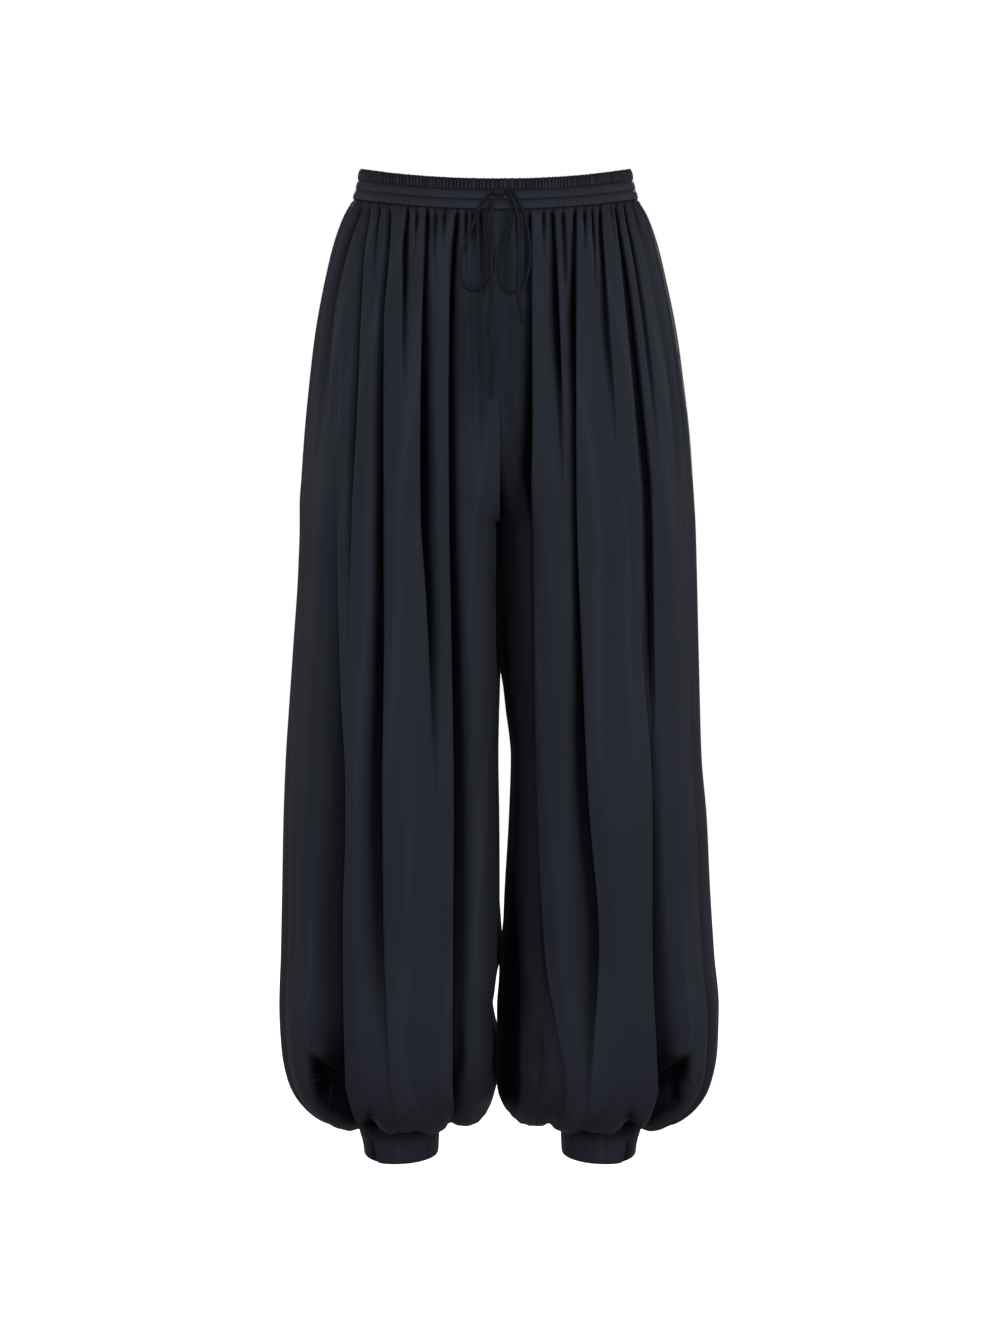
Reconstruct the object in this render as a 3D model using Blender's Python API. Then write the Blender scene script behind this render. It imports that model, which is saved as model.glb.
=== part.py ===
"""Balloon trousers in satin: gathered drawstring waistband, long full legs that blouse over
narrow cuffs. Real size in metres, +Z up, the front faces -Y, origin at the waist's centre.
Left and right are the wearer's, so the right leg is at -X."""
import math

import bmesh
import bpy
import numpy as np
from mathutils import Vector

MM = 0.001
WALL = 2.4 * MM            # cloth of the legs
SEAM = 0.3 * MM            # gap left between two sewn pieces
LEG_LINE = 4.5             # mm, the line between the legs, to the left of the waist's centre
CORD_D = 3.0 * MM          # drawcord thickness
BAND_RIBS = 52             # gathers of the elastic all round the waistband
CUFF_CENTRE = 103.0        # mm, out from the line between the legs
CUFF_HALF = (40.0, 48.0)   # mm, half width and half depth of a cuff
CUFF_TOP, CUFF_END = -952.6, -993.5
# How square a section is at a drop, on its outer half and on its inner half where the legs meet:
# 2 is an ellipse, more is squarer.
SQUARENESS = [(16, 2.15), (100, 2.35), (250, 2.45), (333, 2.4), (500, 2.4), (900, 2.25), (968, 2.0),
              (1031, 2.0)]
INNER_SQUARE = {"right": [(16, 2.15), (100, 3.0), (200, 4.5), (850, 4.5), (930, 2.6), (968, 2.0)],
                "left": [(16, 2.15), (100, 3.0), (200, 3.8), (850, 3.4), (930, 2.6), (968, 2.0)]}

# Rows of a leg from the waist seam down to the cuff seam, all in mm.
# drop: way down the cloth; z: height; saddle: how much higher the sides are than front and back;
# right / left: outer side of that leg; in_r / in_l: its inner side; lobe: 0 one body, 1 two legs;
# front / back: half depths.
LEVELS = [
    # drop    z  saddle right left  in_r  in_l  lobe front back
    (16,   -15.8,  5.5,148.0,139.0,  .15,  .15, .00,  100, 101),
    (30,     -30,  4.6,157.0,148.0,  .15,  .15, .02,  103, 105),
    (55,     -55,  3.4,167.0,158.0,  .15,  .15, .05,  106, 111),
    (92,     -92,  2.0,176.7,167.7,  .15,  .15, .11,  109, 118),
    (145,   -145,  1.0,  187, 179,  .15,  .15, .24,  113, 124),
    (200,   -200,    0,  194, 187,  .15,  .15, .43,  115, 128),
    (250,   -250,    0,  199, 193,  .20,  .20, .64,  116, 128),
    (290,   -290,    0,  202, 196,  .40,  .40, .84,  116, 126),
    (318,   -318,    0,  204, 198,  .80,  .80, .96,  115, 123),
    (333,   -333,    0,  204, 199, 1.00, 1.00, 1.0,  115, 121),
    (388,   -388,    0,  206, 201, 1.00, 1.10, 1.0,  114, 119),
    (455,   -455,    0,  211, 203, 0.80, 1.50, 1.0,  114, 119),
    (520,   -520,    0,  216, 205, 0.70, 5.50, 1.0,  115, 120),
    (575,   -575,    0,  220, 207, 1.50, 11.0, 1.0,  116, 121),
    (640,   -640,    0,  223, 213, 0.60, 9.00, 1.0,  117, 122),
    (715,   -715,    0,  225, 217, 0.20, 4.60, 1.0,  119, 124),
    (785,   -785,    0,  227, 222, 0.80, 1.60, 1.0,  121, 126),
    (838,   -838,    0,  229, 227, 8.00, -3.2, 1.0,  123, 127),
    (880,   -880,    0,  227, 226, 4.00, -1.8, 1.0,  122, 126),
    (915,   -915, -1.0,  220, 220, 3.80, -1.5, 1.0,  116, 120),
    (944,   -938, -3.0,  206, 206, 9.00, 6.00, 1.0,  104, 107),
    (968,   -952, -5.0,  185, 185, 21.0, 20.0, 1.0,   86,  88),
    (995,   -956, -5.0,  163, 163, 41.0, 40.0, 1.0,   67,  68),
    (1018,-953.2, -2.0,  150, 150, 55.0, 55.0, 1.0,   55,  55),
    (1029, -951.6,   0,  144, 144, 62.0, 62.0, 1.0,   49,  49),
    (1031, -951.2,   0,  141, 141, 65.0, 65.0, 1.0, 45.8, 45.8),
]
DROP, HEIGHT, SADDLE, RIGHT, LEFT, IN_R, IN_L, LOBE, FRONT, BACK = range(10)

# Sideways bend of the touching inner sides of the legs, mm, at drops.
BEND = [(250, 0), (340, 4.5), (450, 4.5), (500, 1.0), (545, 0), (730, 0), (780, 4), (815, 0.8),
        (850, 0.8), (885, 4.5), (930, 3), (970, 0)]

# Folds. Each row: name, how far out it lies at the drops below (mm), how deep it is at the
# same drops and at the cuff (mm), its width to the outer side and to the inner side (mm),
# and how many extra mesh columns stand before it.
FOLD_DROPS = (20, 60, 130, 220, 310, 450, 600, 750, 900)
NAME, OUT, DEEP, WIDE_OUT, WIDE_IN, EXTRA = range(6)
RIGHT_FRONT = [
    ("side",    (139, 156, 172, 176, 171, 166, 162, 164, 161), (3, 5, 6, 4, 4, 9, 18, 20, 20, 3), 26, 8, 4),
    ("hip",     (128, 136, 141, 145, 150, 152, 148, 147, 145), (3, 5, 7, 7, 4, 0, 0, 0, 0, 3), 9, 9, 1),
    ("hip_b",   (120, 124, 129, 133, 137, 137, 137, 135, 132), (3, 2, 0, 0, 0, 0, 0, 0, 0, 2), 4, 4, 1),
    ("long",    (109, 110, 116, 118, 118, 120, 124, 124, 115), (4, 6, 10, 13, 12, 11, 14, 9, 4, 3), 8, 7, 1),
    ("mid",     (91, 94.5, 94.5, 96, 97, 98, 99, 97, 92),      (3, 5, 4, 0, 0, 0, 0, 0, 0, 2), 4, 4, 2),
    ("mid_b",   (82, 83, 84, 86, 87, 88, 88, 86, 80),          (3, 1, 0, 0, 0, 0, 0, 0, 0, 3), 4, 4, 0),
    ("second",  (72.5, 74, 74, 72.5, 71.5, 68, 67, 67, 69),    (3, 5, 10, 13, 11, 8, 0, 0, 0, 2), 7, 8, 1),
    ("inner_a", (65, 65.5, 65, 64, 63.5, 61, 60, 60, 61),      (3, 2, 0, 0, 0, 0, 0, 0, 0, 3), 4, 4, 0),
    ("inner_b", (57, 57.5, 57.5, 57, 57, 56, 55, 55, 54),      (3, 1, 0, 0, 0, 0, 0, 0, 0, 2), 4, 4, 1),
    ("main",    (43, 46, 48.5, 48.5, 49, 47, 45, 46, 46),
     (4, 8, 14, 16, 16, 16, 17, 16, 13, 4), 8, 24, 1),
    ("rise_a",  (34, 36, 37, 37, 36, 35, 33, 33, 33),          (3, 2, 0, 0, 0, 0, 0, 0, 0, 2), 4, 4, 0),
    ("rise_b",  (27, 27, 26, 25, 24, 23, 23, 23, 23),          (3, 1, 0, 0, 0, 0, 0, 0, 0, 3), 4, 4, 0),
    ("rise_c",  (19, 18, 15, 14, 13, 13, 13, 14, 14),          (3, 2, 0, 0, 0, 0, 0, 0, 0, 2), 4, 4, 0),
    ("end",     (0,) * 9,                                      (0,) * 10, 4, 4, 4),
]
LEFT_FRONT = [
    ("side",    (132, 145, 162, 176, 181, 186, 191, 196, 197), (2, 2, 4, 5, 4, 0, 0, 0, 0, 3), 12, 12, 3),
    ("hip",     (125, 134, 142, 154, 162, 167, 173, 178, 177), (3, 4, 6, 4, 0, 0, 0, 0, 0, 2), 5, 6, 1),
    ("long",    (115, 121, 131, 141, 147, 148, 150, 155, 158),
     (4, 6, 11, 13, 13, 9, 15, 19, 20, 3), 18, 7, 1),
    ("hip_b",   (109, 113, 120, 128, 132, 133, 134, 136, 138), (3, 1, 0, 0, 0, 0, 0, 0, 0, 2), 4, 4, 1),
    ("mid",     (101, 103, 106, 113, 117, 118, 119, 121, 122), (3, 5, 6, 2, 0, 0, 0, 0, 0, 3), 5, 5, 1),
    ("mid_b",   (92, 93.5, 96, 99, 101, 103, 106, 109, 110),   (3, 3, 0, 0, 0, 0, 0, 0, 0, 2), 4, 4, 1),
    ("mid_c",   (84, 86, 87, 88, 89, 91, 94, 100, 101),        (3, 1, 0, 0, 0, 0, 0, 0, 0, 3), 4, 4, 0),
    ("second",  (75, 75, 73, 73, 74, 77, 83, 91, 88),          (4, 6, 11, 9, 10, 11, 14, 15, 6, 3), 9, 9, 1),
    ("inner_a", (62, 63.5, 64, 66, 67, 69, 73, 79, 80),        (3, 4, 2, 0, 0, 0, 0, 0, 0, 2), 4, 4, 1),
    ("inner_b", (52.5, 54, 55.5, 60, 61.5, 61, 64, 68, 72),    (3, 6, 9, 6, 0, 0, 0, 0, 0, 3), 4, 5, 0),
    ("inner_c", (43, 43, 43, 46, 46, 46, 50, 57, 66),          (3, 1, 0, 0, 0, 0, 0, 0, 0, 2), 4, 4, 1),
    ("main",    (30, 29, 28, 29, 30, 33, 36, 44, 59),          (2, 3, 5, 9, 13, 14, 15, 12, 4, 3), 8, 26, 1),
    ("rise",    (17, 17, 16, 15, 15, 16, 18, 24, 28),          (3, 1, 0, 0, 0, 0, 0, 0, 0, 3), 4, 4, 1),
    ("end",     (0,) * 9,                                      (0,) * 10, 4, 4, 4),
]
BACK_FOLDS = [
    ("side",    (134, 149, 165, 174, 173, 168, 166, 166, 160), (3, 5, 6, 6, 6, 10, 16, 18, 18, 3), 24, 8, 3),
    ("hip",     (124, 130, 136, 141, 145, 147, 147, 147, 144), (3, 5, 5, 3, 0, 0, 0, 0, 0, 3), 8, 8, 1),
    ("long",    (108, 110, 113, 116, 118, 121, 124, 126, 120), (4, 7, 11, 13, 12, 12, 12, 9, 5, 3), 8, 8, 1),
    ("mid",     (95, 96, 97, 98, 99, 100, 102, 103, 101),      (3, 3, 0, 0, 0, 0, 0, 0, 0, 3), 5, 5, 1),
    ("second",  (80, 81, 82, 82, 82, 83, 84, 85, 84),          (4, 6, 10, 11, 8, 4, 0, 0, 0, 3), 8, 8, 1),
    ("inner_a", (67, 68, 69, 69, 69, 69, 70, 71, 70),          (3, 2, 0, 0, 0, 0, 0, 0, 0, 3), 5, 5, 1),
    ("main",    (53, 55, 57, 58, 58, 57, 57, 58, 56),
     (4, 8, 12, 15, 15, 14, 15, 14, 9, 4), 8, 18, 1),
    ("inner_b", (40, 40, 39, 38, 37, 36, 36, 37, 37),          (3, 2, 0, 0, 0, 0, 0, 0, 0, 3), 5, 5, 1),
    ("rise_a",  (27, 28, 28, 27, 26, 25, 25, 25, 25),          (3, 5, 4, 2, 0, 0, 0, 0, 0, 3), 5, 5, 0),
    ("rise_b",  (14, 14, 14, 13, 13, 13, 13, 14, 14),          (3, 2, 0, 0, 0, 0, 0, 0, 0, 3), 5, 5, 0),
    ("end",     (0,) * 9,                                      (0,) * 10, 4, 4, 4),
]
# The second back panel has the same folds, moved out by these steps and deepened by these parts.
BACK_SHIFT = {"side": -3, "hip": -4, "long": -6, "mid": -4, "second": -7, "inner_a": -5, "main": -8,
              "inner_b": -3, "rise_a": 2, "rise_b": 1}
BACK_GAIN = {"side": 1.1, "hip": 1.2, "long": 0.8, "second": 1.15, "main": 0.9, "rise_a": 1.4}
BROAD_SHARE, BROAD_WIDTH = 0.35, 26.0     # soft hollow around each deep fold

for old in list(bpy.data.objects):
    bpy.data.objects.remove(old, do_unlink=True)

parts = bpy.data.collections.new("balloon_trousers")
bpy.context.scene.collection.children.link(parts)


def satin(name, colour):
    mat = bpy.data.materials.new(name)
    mat.use_nodes = True
    shader = mat.node_tree.nodes["Principled BSDF"]
    shader.inputs["Base Color"].default_value = (*colour, 1.0)
    shader.inputs["Roughness"].default_value = 0.42
    mat.diffuse_color = (*colour, 1.0)
    return mat


def add_mesh(name, points, faces, mat):
    """One closed body from points in metres, with its faces turned outward."""
    mesh = bpy.data.meshes.new(name)
    mesh.from_pydata([tuple(p) for p in points], [], faces)
    work = bmesh.new()
    work.from_mesh(mesh)
    bmesh.ops.triangulate(work, faces=work.faces, quad_method="SHORT_EDGE")
    bmesh.ops.recalc_face_normals(work, faces=work.faces)
    work.to_mesh(mesh)
    work.free()
    mesh.materials.append(mat)
    obj = bpy.data.objects.new(name, mesh)
    parts.objects.link(obj)
    return obj


def along(xs, ys, x):
    return float(np.interp(x, xs, ys))


def section(level, side, face, count=400):
    """Outline of one leg panel at a level, from the side seam to its inner end, in leg sizes."""
    outer = level[RIGHT] if side == "right" else level[LEFT]
    inner = level[IN_R] if side == "right" else level[IN_L]
    lobe, depth = level[LOBE], level[FRONT] if face == "front" else level[BACK]
    centre = inner + lobe * (outer - inner) / 2
    reach = outer - centre
    power = 2 / along(*zip(*SQUARENESS), level[DROP])
    inner_power = 2 / along(*zip(*INNER_SQUARE[side]), level[DROP])
    last = math.acos(-((lobe / (2 - lobe)) ** (1 / inner_power))) if lobe > 0 else math.pi / 2
    turn = np.linspace(0, last, count)
    cos, sin = np.cos(turn), np.sin(turn)
    power = np.where(cos < 0, inner_power, power)
    u = centre + reach * np.sign(cos) * np.abs(cos) ** power
    y = depth * np.abs(sin) ** power
    z = level[HEIGHT] + level[SADDLE] * np.cos(2 * turn)
    if lobe >= 1:
        u[-1], y[-1] = inner, 0
    u[0] = outer
    return u, (-y if face == "front" else y), z


def fold_place(row, level, side):
    """How far out a fold lies at this level; below the last drop it keeps its share of the width."""
    outer = level[RIGHT] if side == "right" else level[LEFT]
    inner = level[IN_R] if side == "right" else level[IN_L]
    drop = level[DROP]
    if drop <= FOLD_DROPS[-1]:
        return along(FOLD_DROPS, row[OUT], drop)
    wide, near = (225, 222)[side == "left"], (3.9, -1.6)[side == "left"]
    share = (row[OUT][-1] - near) / (wide - near)
    return inner + share * (outer - inner)


def fold_depth(row, drop):
    return along(FOLD_DROPS + (1031,), row[DEEP], drop)


def columns(folds, level, side, face):
    """Outline points, their distances, the folds' distances and the mesh columns' distances."""
    u, y, z = section(level, side, face)
    steps = np.hypot(np.diff(u), np.diff(y))
    run = np.concatenate([[0], np.cumsum(steps)])
    marks = [0.0]
    for row in folds:
        if row[NAME] == "end":
            at = run[-1] - (SEAM / 2 / MM if level[LOBE] >= 1 else 0)
        else:
            at = float(np.interp(-fold_place(row, level, side), -u, run))
        at = max(at, marks[-1] + 1.6)
        marks.append(at)
    marks[0] = SEAM / 2 / MM
    last = marks[-1]
    for k in range(len(marks) - 2, 0, -1):
        marks[k] = min(marks[k], marks[k + 1] - 1.6)
    marks[-1] = min(last, run[-1])
    stops = [marks[0]]
    for k, row in enumerate(folds):
        extra = row[EXTRA]
        for i in range(extra + 1):
            stops.append(marks[k] + (marks[k + 1] - marks[k]) * (i + 1) / (extra + 1))
    return u, y, z, run, marks[1:], stops


def hollow(folds, level, marks, at):
    """How far the cloth is pressed in at a distance along the outline, mm."""
    drop = level[DROP]
    taper = min(1.0, (3.5 + 0.11 * (drop - 16)) / 12) if drop < 900 else max(0.35, 1 - (drop - 900) / 200)
    total = 0.0
    for row, centre in zip(folds, marks):
        deep = fold_depth(row, drop)
        if deep <= 0:
            continue
        wide = row[WIDE_OUT] if at < centre else row[WIDE_IN]
        if wide > 5:
            wide = max(3.5, wide * taper)
        far = abs(at - centre)
        sharp = 1 - math.sin(math.pi / 2 * min(1, far / wide))
        if deep > 5:
            broad = BROAD_WIDTH * taper
            soft = (1 + math.cos(math.pi * min(1, far / broad))) / 2
            value = deep * ((1 - BROAD_SHARE) * sharp + BROAD_SHARE * soft)
        else:
            value = deep * sharp
        total += value ** 3
    return total ** (1 / 3)


def bend(u, y, z):
    """Shared sideways bend near the line between the legs."""
    size = along(*zip(*BEND), -z)
    return size * math.sin(math.pi * max(-1, min(1, y / 85))) * math.exp(-(u / 45) ** 2)


def leg_panel(name, side, face, folds, mat):
    """Closed wall of one leg panel: outer rows, inner rows and the rims between them."""
    base, push = [], []
    for level in LEVELS:
        u, y, z, run, marks, stops = columns(folds, level, side, face)
        base.append([(np.interp(s, run, u), np.interp(s, run, y), np.interp(s, run, z)) for s in stops])
        push.append([hollow(folds, level, marks, s) for s in stops])
    base = np.array(base)
    push = np.array(push)
    edge = np.ones(push.shape[1])
    edge[0] = edge[-1] = 0.0
    push = push * edge
    down = np.gradient(base, axis=0)
    across = np.gradient(base, axis=1)
    normal = np.cross(across, down)
    normal /= np.linalg.norm(normal, axis=2, keepdims=True) + 1e-12
    # pressed in means towards the inside of the leg
    inward = normal if face == "back" else -normal
    probe = base[12, base.shape[1] // 2]
    towards = np.array([110, 0, probe[2]]) - probe
    if np.dot(inward[12, base.shape[1] // 2], towards) < 0:
        inward = -inward
    # at the seams the wall is cut square to the seam
    for col, axis in ((0, 1), (-1, 0)):
        for r, level in enumerate(LEVELS):
            fixed = inward[r, col].copy()
            seam_axis = 1 if (col == 0 or level[LOBE] >= 1) else 0
            fixed[seam_axis] = 0
            if np.linalg.norm(fixed) > 0.2:
                inward[r, col] = fixed / np.linalg.norm(fixed)
    inward[0] = [v / np.linalg.norm(v) for v in inward[0] * (1, 1, 0)]
    for r in (-1, -2):
        inward[r] = (0, 0, 1)
    outer = base + inward * push[..., None]
    inner = outer + inward * (WALL / MM)
    inner[0, :, 2] = outer[0, :, 2]

    def place(grid):
        out = []
        for u, y, z in grid.reshape(-1, 3):
            u_signed = -u if side == "right" else u
            x = LEG_LINE + u_signed + bend(u, y, z)
            out.append((x * MM, y * MM, z * MM))
        return out

    rows, cols = push.shape
    points = place(outer) + place(inner)
    n = rows * cols
    faces = []
    for r in range(rows - 1):
        for c in range(cols - 1):
            a, b = r * cols + c, r * cols + c + 1
            d, e = a + cols, b + cols
            faces += [(a, b, e, d), (n + a, n + d, n + e, n + b)]
    for r in range(rows - 1):
        for c in (0, cols - 1):
            a, d = r * cols + c, (r + 1) * cols + c
            faces.append((a, d, n + d, n + a))
    for c in range(cols - 1):
        for r in (0, rows - 1):
            a, b = r * cols + c, r * cols + c + 1
            faces.append((a, b, n + b, n + a))
    add_mesh(name, points, faces, mat)
    return outer, marks


def second_back():
    moved = []
    for row in BACK_FOLDS:
        step, gain = BACK_SHIFT.get(row[NAME], 0), BACK_GAIN.get(row[NAME], 1)
        moved.append((row[NAME], tuple(u + step for u in row[OUT]), tuple(d * gain for d in row[DEEP]),
                      *row[WIDE_OUT:]))
    return moved


for leg_side, face, folds in (("right", "front", RIGHT_FRONT), ("left", "front", LEFT_FRONT),
                              ("right", "back", BACK_FOLDS), ("left", "back", second_back())):
    mat = satin(f"satin_{leg_side}_{face}", (0.021, 0.023, 0.031))
    leg_panel(f"leg_{leg_side}_{face}", leg_side, face, folds, mat)

# Waistband, in mm: height above its middle line, outer step, depth of the ribs.
BAND_LOW, BAND_HIGH = -15.2, 15.0
BAND_OUTER = [
    # height  out  ribs
    (BAND_LOW, 0.1, 0.1), (-13.0, 0.9, 0.2), (-8.0, 0.9, 0.2), (-5.6, -0.2, 0.1), (-3.4, 0.9, 0.3),
    (1.6, 0.9, 0.3), (3.6, -0.2, 0.3), (6.2, 1.0, 0.9), (12.4, 1.0, 0.9), (BAND_HIGH, 0.0, 0.5),
]
BAND_INNER = [(BAND_HIGH, -1.9), (0, -1.9), (BAND_LOW, -1.9)]
BAND_FLARE = [(BAND_LOW, 0.0), (-5, -3.3), (5, -6.1), (BAND_HIGH, -8.2)]


def waist_ring(count):
    """Points of the waist outline by equal steps, with the outward direction and the saddle lift."""
    ring = []
    for side, face, flip in (("left", "front", True), ("left", "back", False),
                             ("right", "back", True), ("right", "front", False)):
        u, y, z = section(LEVELS[0], side, face)
        x = LEG_LINE + (u if side == "left" else -u)
        line = list(zip(x, y, z - LEVELS[0][HEIGHT]))
        ring += line[::-1] if flip else line
        ring.pop()
    ring = np.array(ring)
    closed = np.vstack([ring, ring[:1]])
    run = np.concatenate([[0], np.cumsum(np.hypot(*np.diff(closed[:, :2], axis=0).T))])
    at = np.linspace(0, run[-1], count, endpoint=False)
    x, y, lift = (np.interp(at, run, closed[:, k]) for k in range(3))
    ahead = np.stack([np.roll(x, -2) - np.roll(x, 2), np.roll(y, -2) - np.roll(y, 2)], 1)
    ahead /= np.linalg.norm(ahead, axis=1, keepdims=True)
    out = np.stack([ahead[:, 1], -ahead[:, 0]], 1)
    if np.mean(out[:, 0] * x + out[:, 1] * y) < 0:
        out = -out
    return x, y, out, lift


def waistband():
    count = BAND_RIBS * 2
    x, y, out, lift = waist_ring(count)
    rings = []
    for height, step, rib in BAND_OUTER:
        flare = along(*zip(*BAND_FLARE), height)
        ring = []
        for i in range(count):
            off = step + flare - rib * (i % 2)
            ring.append((x[i] + out[i][0] * off, y[i] + out[i][1] * off, height + lift[i]))
        rings.append(ring)
    for height, step in BAND_INNER:
        off = step + along(*zip(*BAND_FLARE), height)
        rings.append([(x[i] + out[i][0] * off, y[i] + out[i][1] * off, height + lift[i])
                      for i in range(count)])
    points = [tuple(v * MM for v in p) for ring in rings for p in ring]
    faces = []
    for r in range(len(rings)):
        for i in range(count):
            j, s = (i + 1) % count, (r + 1) % len(rings)
            faces.append((r * count + i, r * count + j, s * count + j, s * count + i))
    add_mesh("waistband", points, faces, satin("satin_waistband", (0.022, 0.024, 0.032)))


waistband()

# Cuff: a band whose outer end lies over its own start.
CUFF_WALL = 2.0
CUFF_STEP = 2.4            # how far the overlapping end stands out
CUFF_START, CUFF_TURN = -67.0, 385.0


def cuff_point(side, angle, out, z):
    """Angle 0 at the outer side, 90 at the back."""
    turn = math.radians(angle)
    slope = (z - CUFF_TOP) / (CUFF_END - CUFF_TOP)
    a, b = CUFF_HALF[0] - 1.2 * slope, CUFF_HALF[1] - 1.0 * slope
    c, s = math.cos(turn), math.sin(turn)
    norm = math.hypot(c / a, s / b)
    u = CUFF_CENTRE + a * c + out * (c / a) / norm
    y = b * s + out * (s / b) / norm
    x = LEG_LINE + (-u if side == "right" else u)
    return Vector((x * MM, y * MM, z * MM))


def cuff(side):
    count = 44
    rows = []
    for i in range(count + 1):
        share = i / count
        angle = CUFF_START + CUFF_TURN * share
        over = max(0.0, (angle - (CUFF_START + 330)) / 30)
        lift = CUFF_STEP * min(1.0, over)
        fold = 0.35 * math.sin(math.radians(angle * 9))
        high, low = CUFF_TOP - 0.2, CUFF_END + 0.6 * math.sin(math.radians(angle * 2 + 40))
        mid = (high + low) / 2
        rows.append([cuff_point(side, angle, lift - 0.6, low), cuff_point(side, angle, lift, low + 1.6),
                     cuff_point(side, angle, lift + fold * 0.6, mid), cuff_point(side, angle, lift, high),
                     cuff_point(side, angle, lift - CUFF_WALL, high),
                     cuff_point(side, angle, lift - CUFF_WALL, low)])
    k = len(rows[0])
    points = [p for row in rows for p in row]
    faces = []
    for i in range(count):
        for j in range(k):
            a, b = i * k + j, i * k + (j + 1) % k
            faces.append((a, b, b + k, a + k))
    faces += [tuple(range(k)), tuple(count * k + j for j in range(k))]
    add_mesh("cuff_" + side, points, faces, satin("satin_cuff_" + side, (0.021, 0.023, 0.031)))


def button(side):
    """Small covered button on the overlapping end of the cuff."""
    mesh = bpy.data.meshes.new("button_" + side)
    work = bmesh.new()
    bmesh.ops.create_uvsphere(work, u_segments=10, v_segments=6, radius=3.0 * MM)
    for v in work.verts:
        v.co.z *= 0.55
    at = cuff_point(side, CUFF_START + CUFF_TURN - 360 - 6, CUFF_STEP, -975.0)
    out = (cuff_point(side, CUFF_START + CUFF_TURN - 360 - 6, CUFF_STEP + 10, -975.0) - at).normalized()
    turn = Vector((0, 0, 1)).rotation_difference(out)
    for v in work.verts:
        v.co = turn @ v.co + at + out * (1.65 + 0.45) * MM
    work.to_mesh(mesh)
    work.free()
    mesh.materials.append(satin("satin_button_" + side, (0.018, 0.019, 0.026)))
    parts.objects.link(bpy.data.objects.new("button_" + side, mesh))


for leg_side in ("right", "left"):
    cuff(leg_side)
    button(leg_side)

# Drawcord, tied in a bow. Each row: across, height, way off the cloth (all mm).
CORD_LONG = [
    # x     z    off
    (1.2, -2.8, 3.6), (-3.0, -3.2, 3.4), (-7.5, -7, 2.2), (-13, -14, 2.0), (-18.5, -26, 2.0),
    (-24, -41, 2.0), (-30, -55, 2.0), (-35, -72, 2.0), (-35.5, -87, 2.0), (-31.5, -95, 2.0),
    (-24, -99, 2.0), (-15, -97.5, 2.0), (-7.5, -89, 2.0), (-4, -76.5, 2.0), (-5.5, -62, 2.0),
    (-9, -50, 2.0), (-11, -39, 2.0),
    (-9.5, -24, 2.1), (-6.5, -15, 2.9), (-3.6, -10.5, 5.5), (-3.0, -14, 6.6), (-3.5, -34, 6.6),
    (-3.2, -54, 6.6), (-3.6, -75, 6.6), (-3.8, -104, 6.2), (-6, -122, 5.0), (-7, -134, 3.6), (-4, -154, 2.8),
    (-3.6, -177, 2.0), (-4, -204, 1.9),
]
CORD_SHORT = [
    (5.2, -4.6, 3.6), (9.5, -2, 2.1), (14.5, -7, 2.0), (16, -17, 2.0), (15, -31, 2.0), (10.5, -47, 2.0),
    (6, -60, 2.0), (3.2, -73, 2.0), (3.6, -87, 2.0), (7.5, -97, 2.0), (15, -102.5, 2.0), (21.5, -101.5, 2.0),
    (28, -95.5, 2.0), (31.5, -84, 2.0), (34, -71, 2.0), (33.5, -57, 2.0), (32, -41, 2.0), (27, -22, 2.0),
    (21, -9.5, 2.1), (15.5, -0.5, 3.6), (11, 0.8, 6.8), (12.6, -4.5, 7.4), (18.5, -12, 6.8), (22.4, -30, 6.6),
    (22.8, -52, 6.6), (22.6, -80, 6.6), (22.4, -107, 6.2), (25.5, -118, 4.4), (27.5, -131, 2.1),
]


def front_y(x, z):
    """Front face of the cloth without its folds, mm."""
    rows = [section(level, "left" if x > LEG_LINE else "right", "front", 160) for level in LEVELS[:9]]
    u = abs(x - LEG_LINE)
    heights = [-(row_level[HEIGHT]) for row_level in LEVELS[:9]]
    depths = [float(np.interp(-u, -row[0], row[1])) for row in rows]
    if z > -15:
        flare = along(*zip(*BAND_FLARE), z + 5)
        return depths[0] - flare - 1.2
    return float(np.interp(-z, heights, depths)) - (1.2 if z > -22 else 0.0)


def cord(name, table, colour):
    """Tube through the table's points, smoothed and stepped evenly."""
    pts = np.array([(x, front_y(x, z) - off, z) for x, z, off in table])
    run = np.concatenate([[0], np.cumsum(np.linalg.norm(np.diff(pts, axis=0), axis=1))])
    count = int(run[-1] / 7.2)
    fine = np.linspace(0, run[-1], count * 8)
    smooth = np.stack([np.interp(fine, run, pts[:, k]) for k in range(3)], 1)
    kernel = np.hanning(23)
    kernel /= kernel.sum()
    for k in range(3):
        padded = np.concatenate([2 * smooth[0, k] - smooth[11:0:-1, k], smooth[:, k],
                                 2 * smooth[-1, k] - smooth[-2:-13:-1, k]])
        smooth[:, k] = np.convolve(padded, kernel, "valid")
    line = smooth[np.linspace(0, len(smooth) - 1, count).round().astype(int)]
    curve = bpy.data.curves.new(name, "CURVE")
    curve.dimensions = "3D"
    curve.bevel_depth = CORD_D / 2
    curve.bevel_resolution = 2
    curve.use_fill_caps = True
    spline = curve.splines.new("POLY")
    spline.points.add(len(line) - 1)
    for point, co in zip(spline.points, line):
        point.co = (*[v * MM for v in co], 1.0)
    obj = bpy.data.objects.new(name, curve)
    obj.data.materials.append(satin("satin_" + name, colour))
    parts.objects.link(obj)
    weld = obj.modifiers.new("join caps", "WELD")
    weld.merge_threshold = 0.00002


cord("drawcord_long", CORD_LONG, (0.018, 0.019, 0.026))
cord("drawcord_short", CORD_SHORT, (0.018, 0.019, 0.026))


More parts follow.
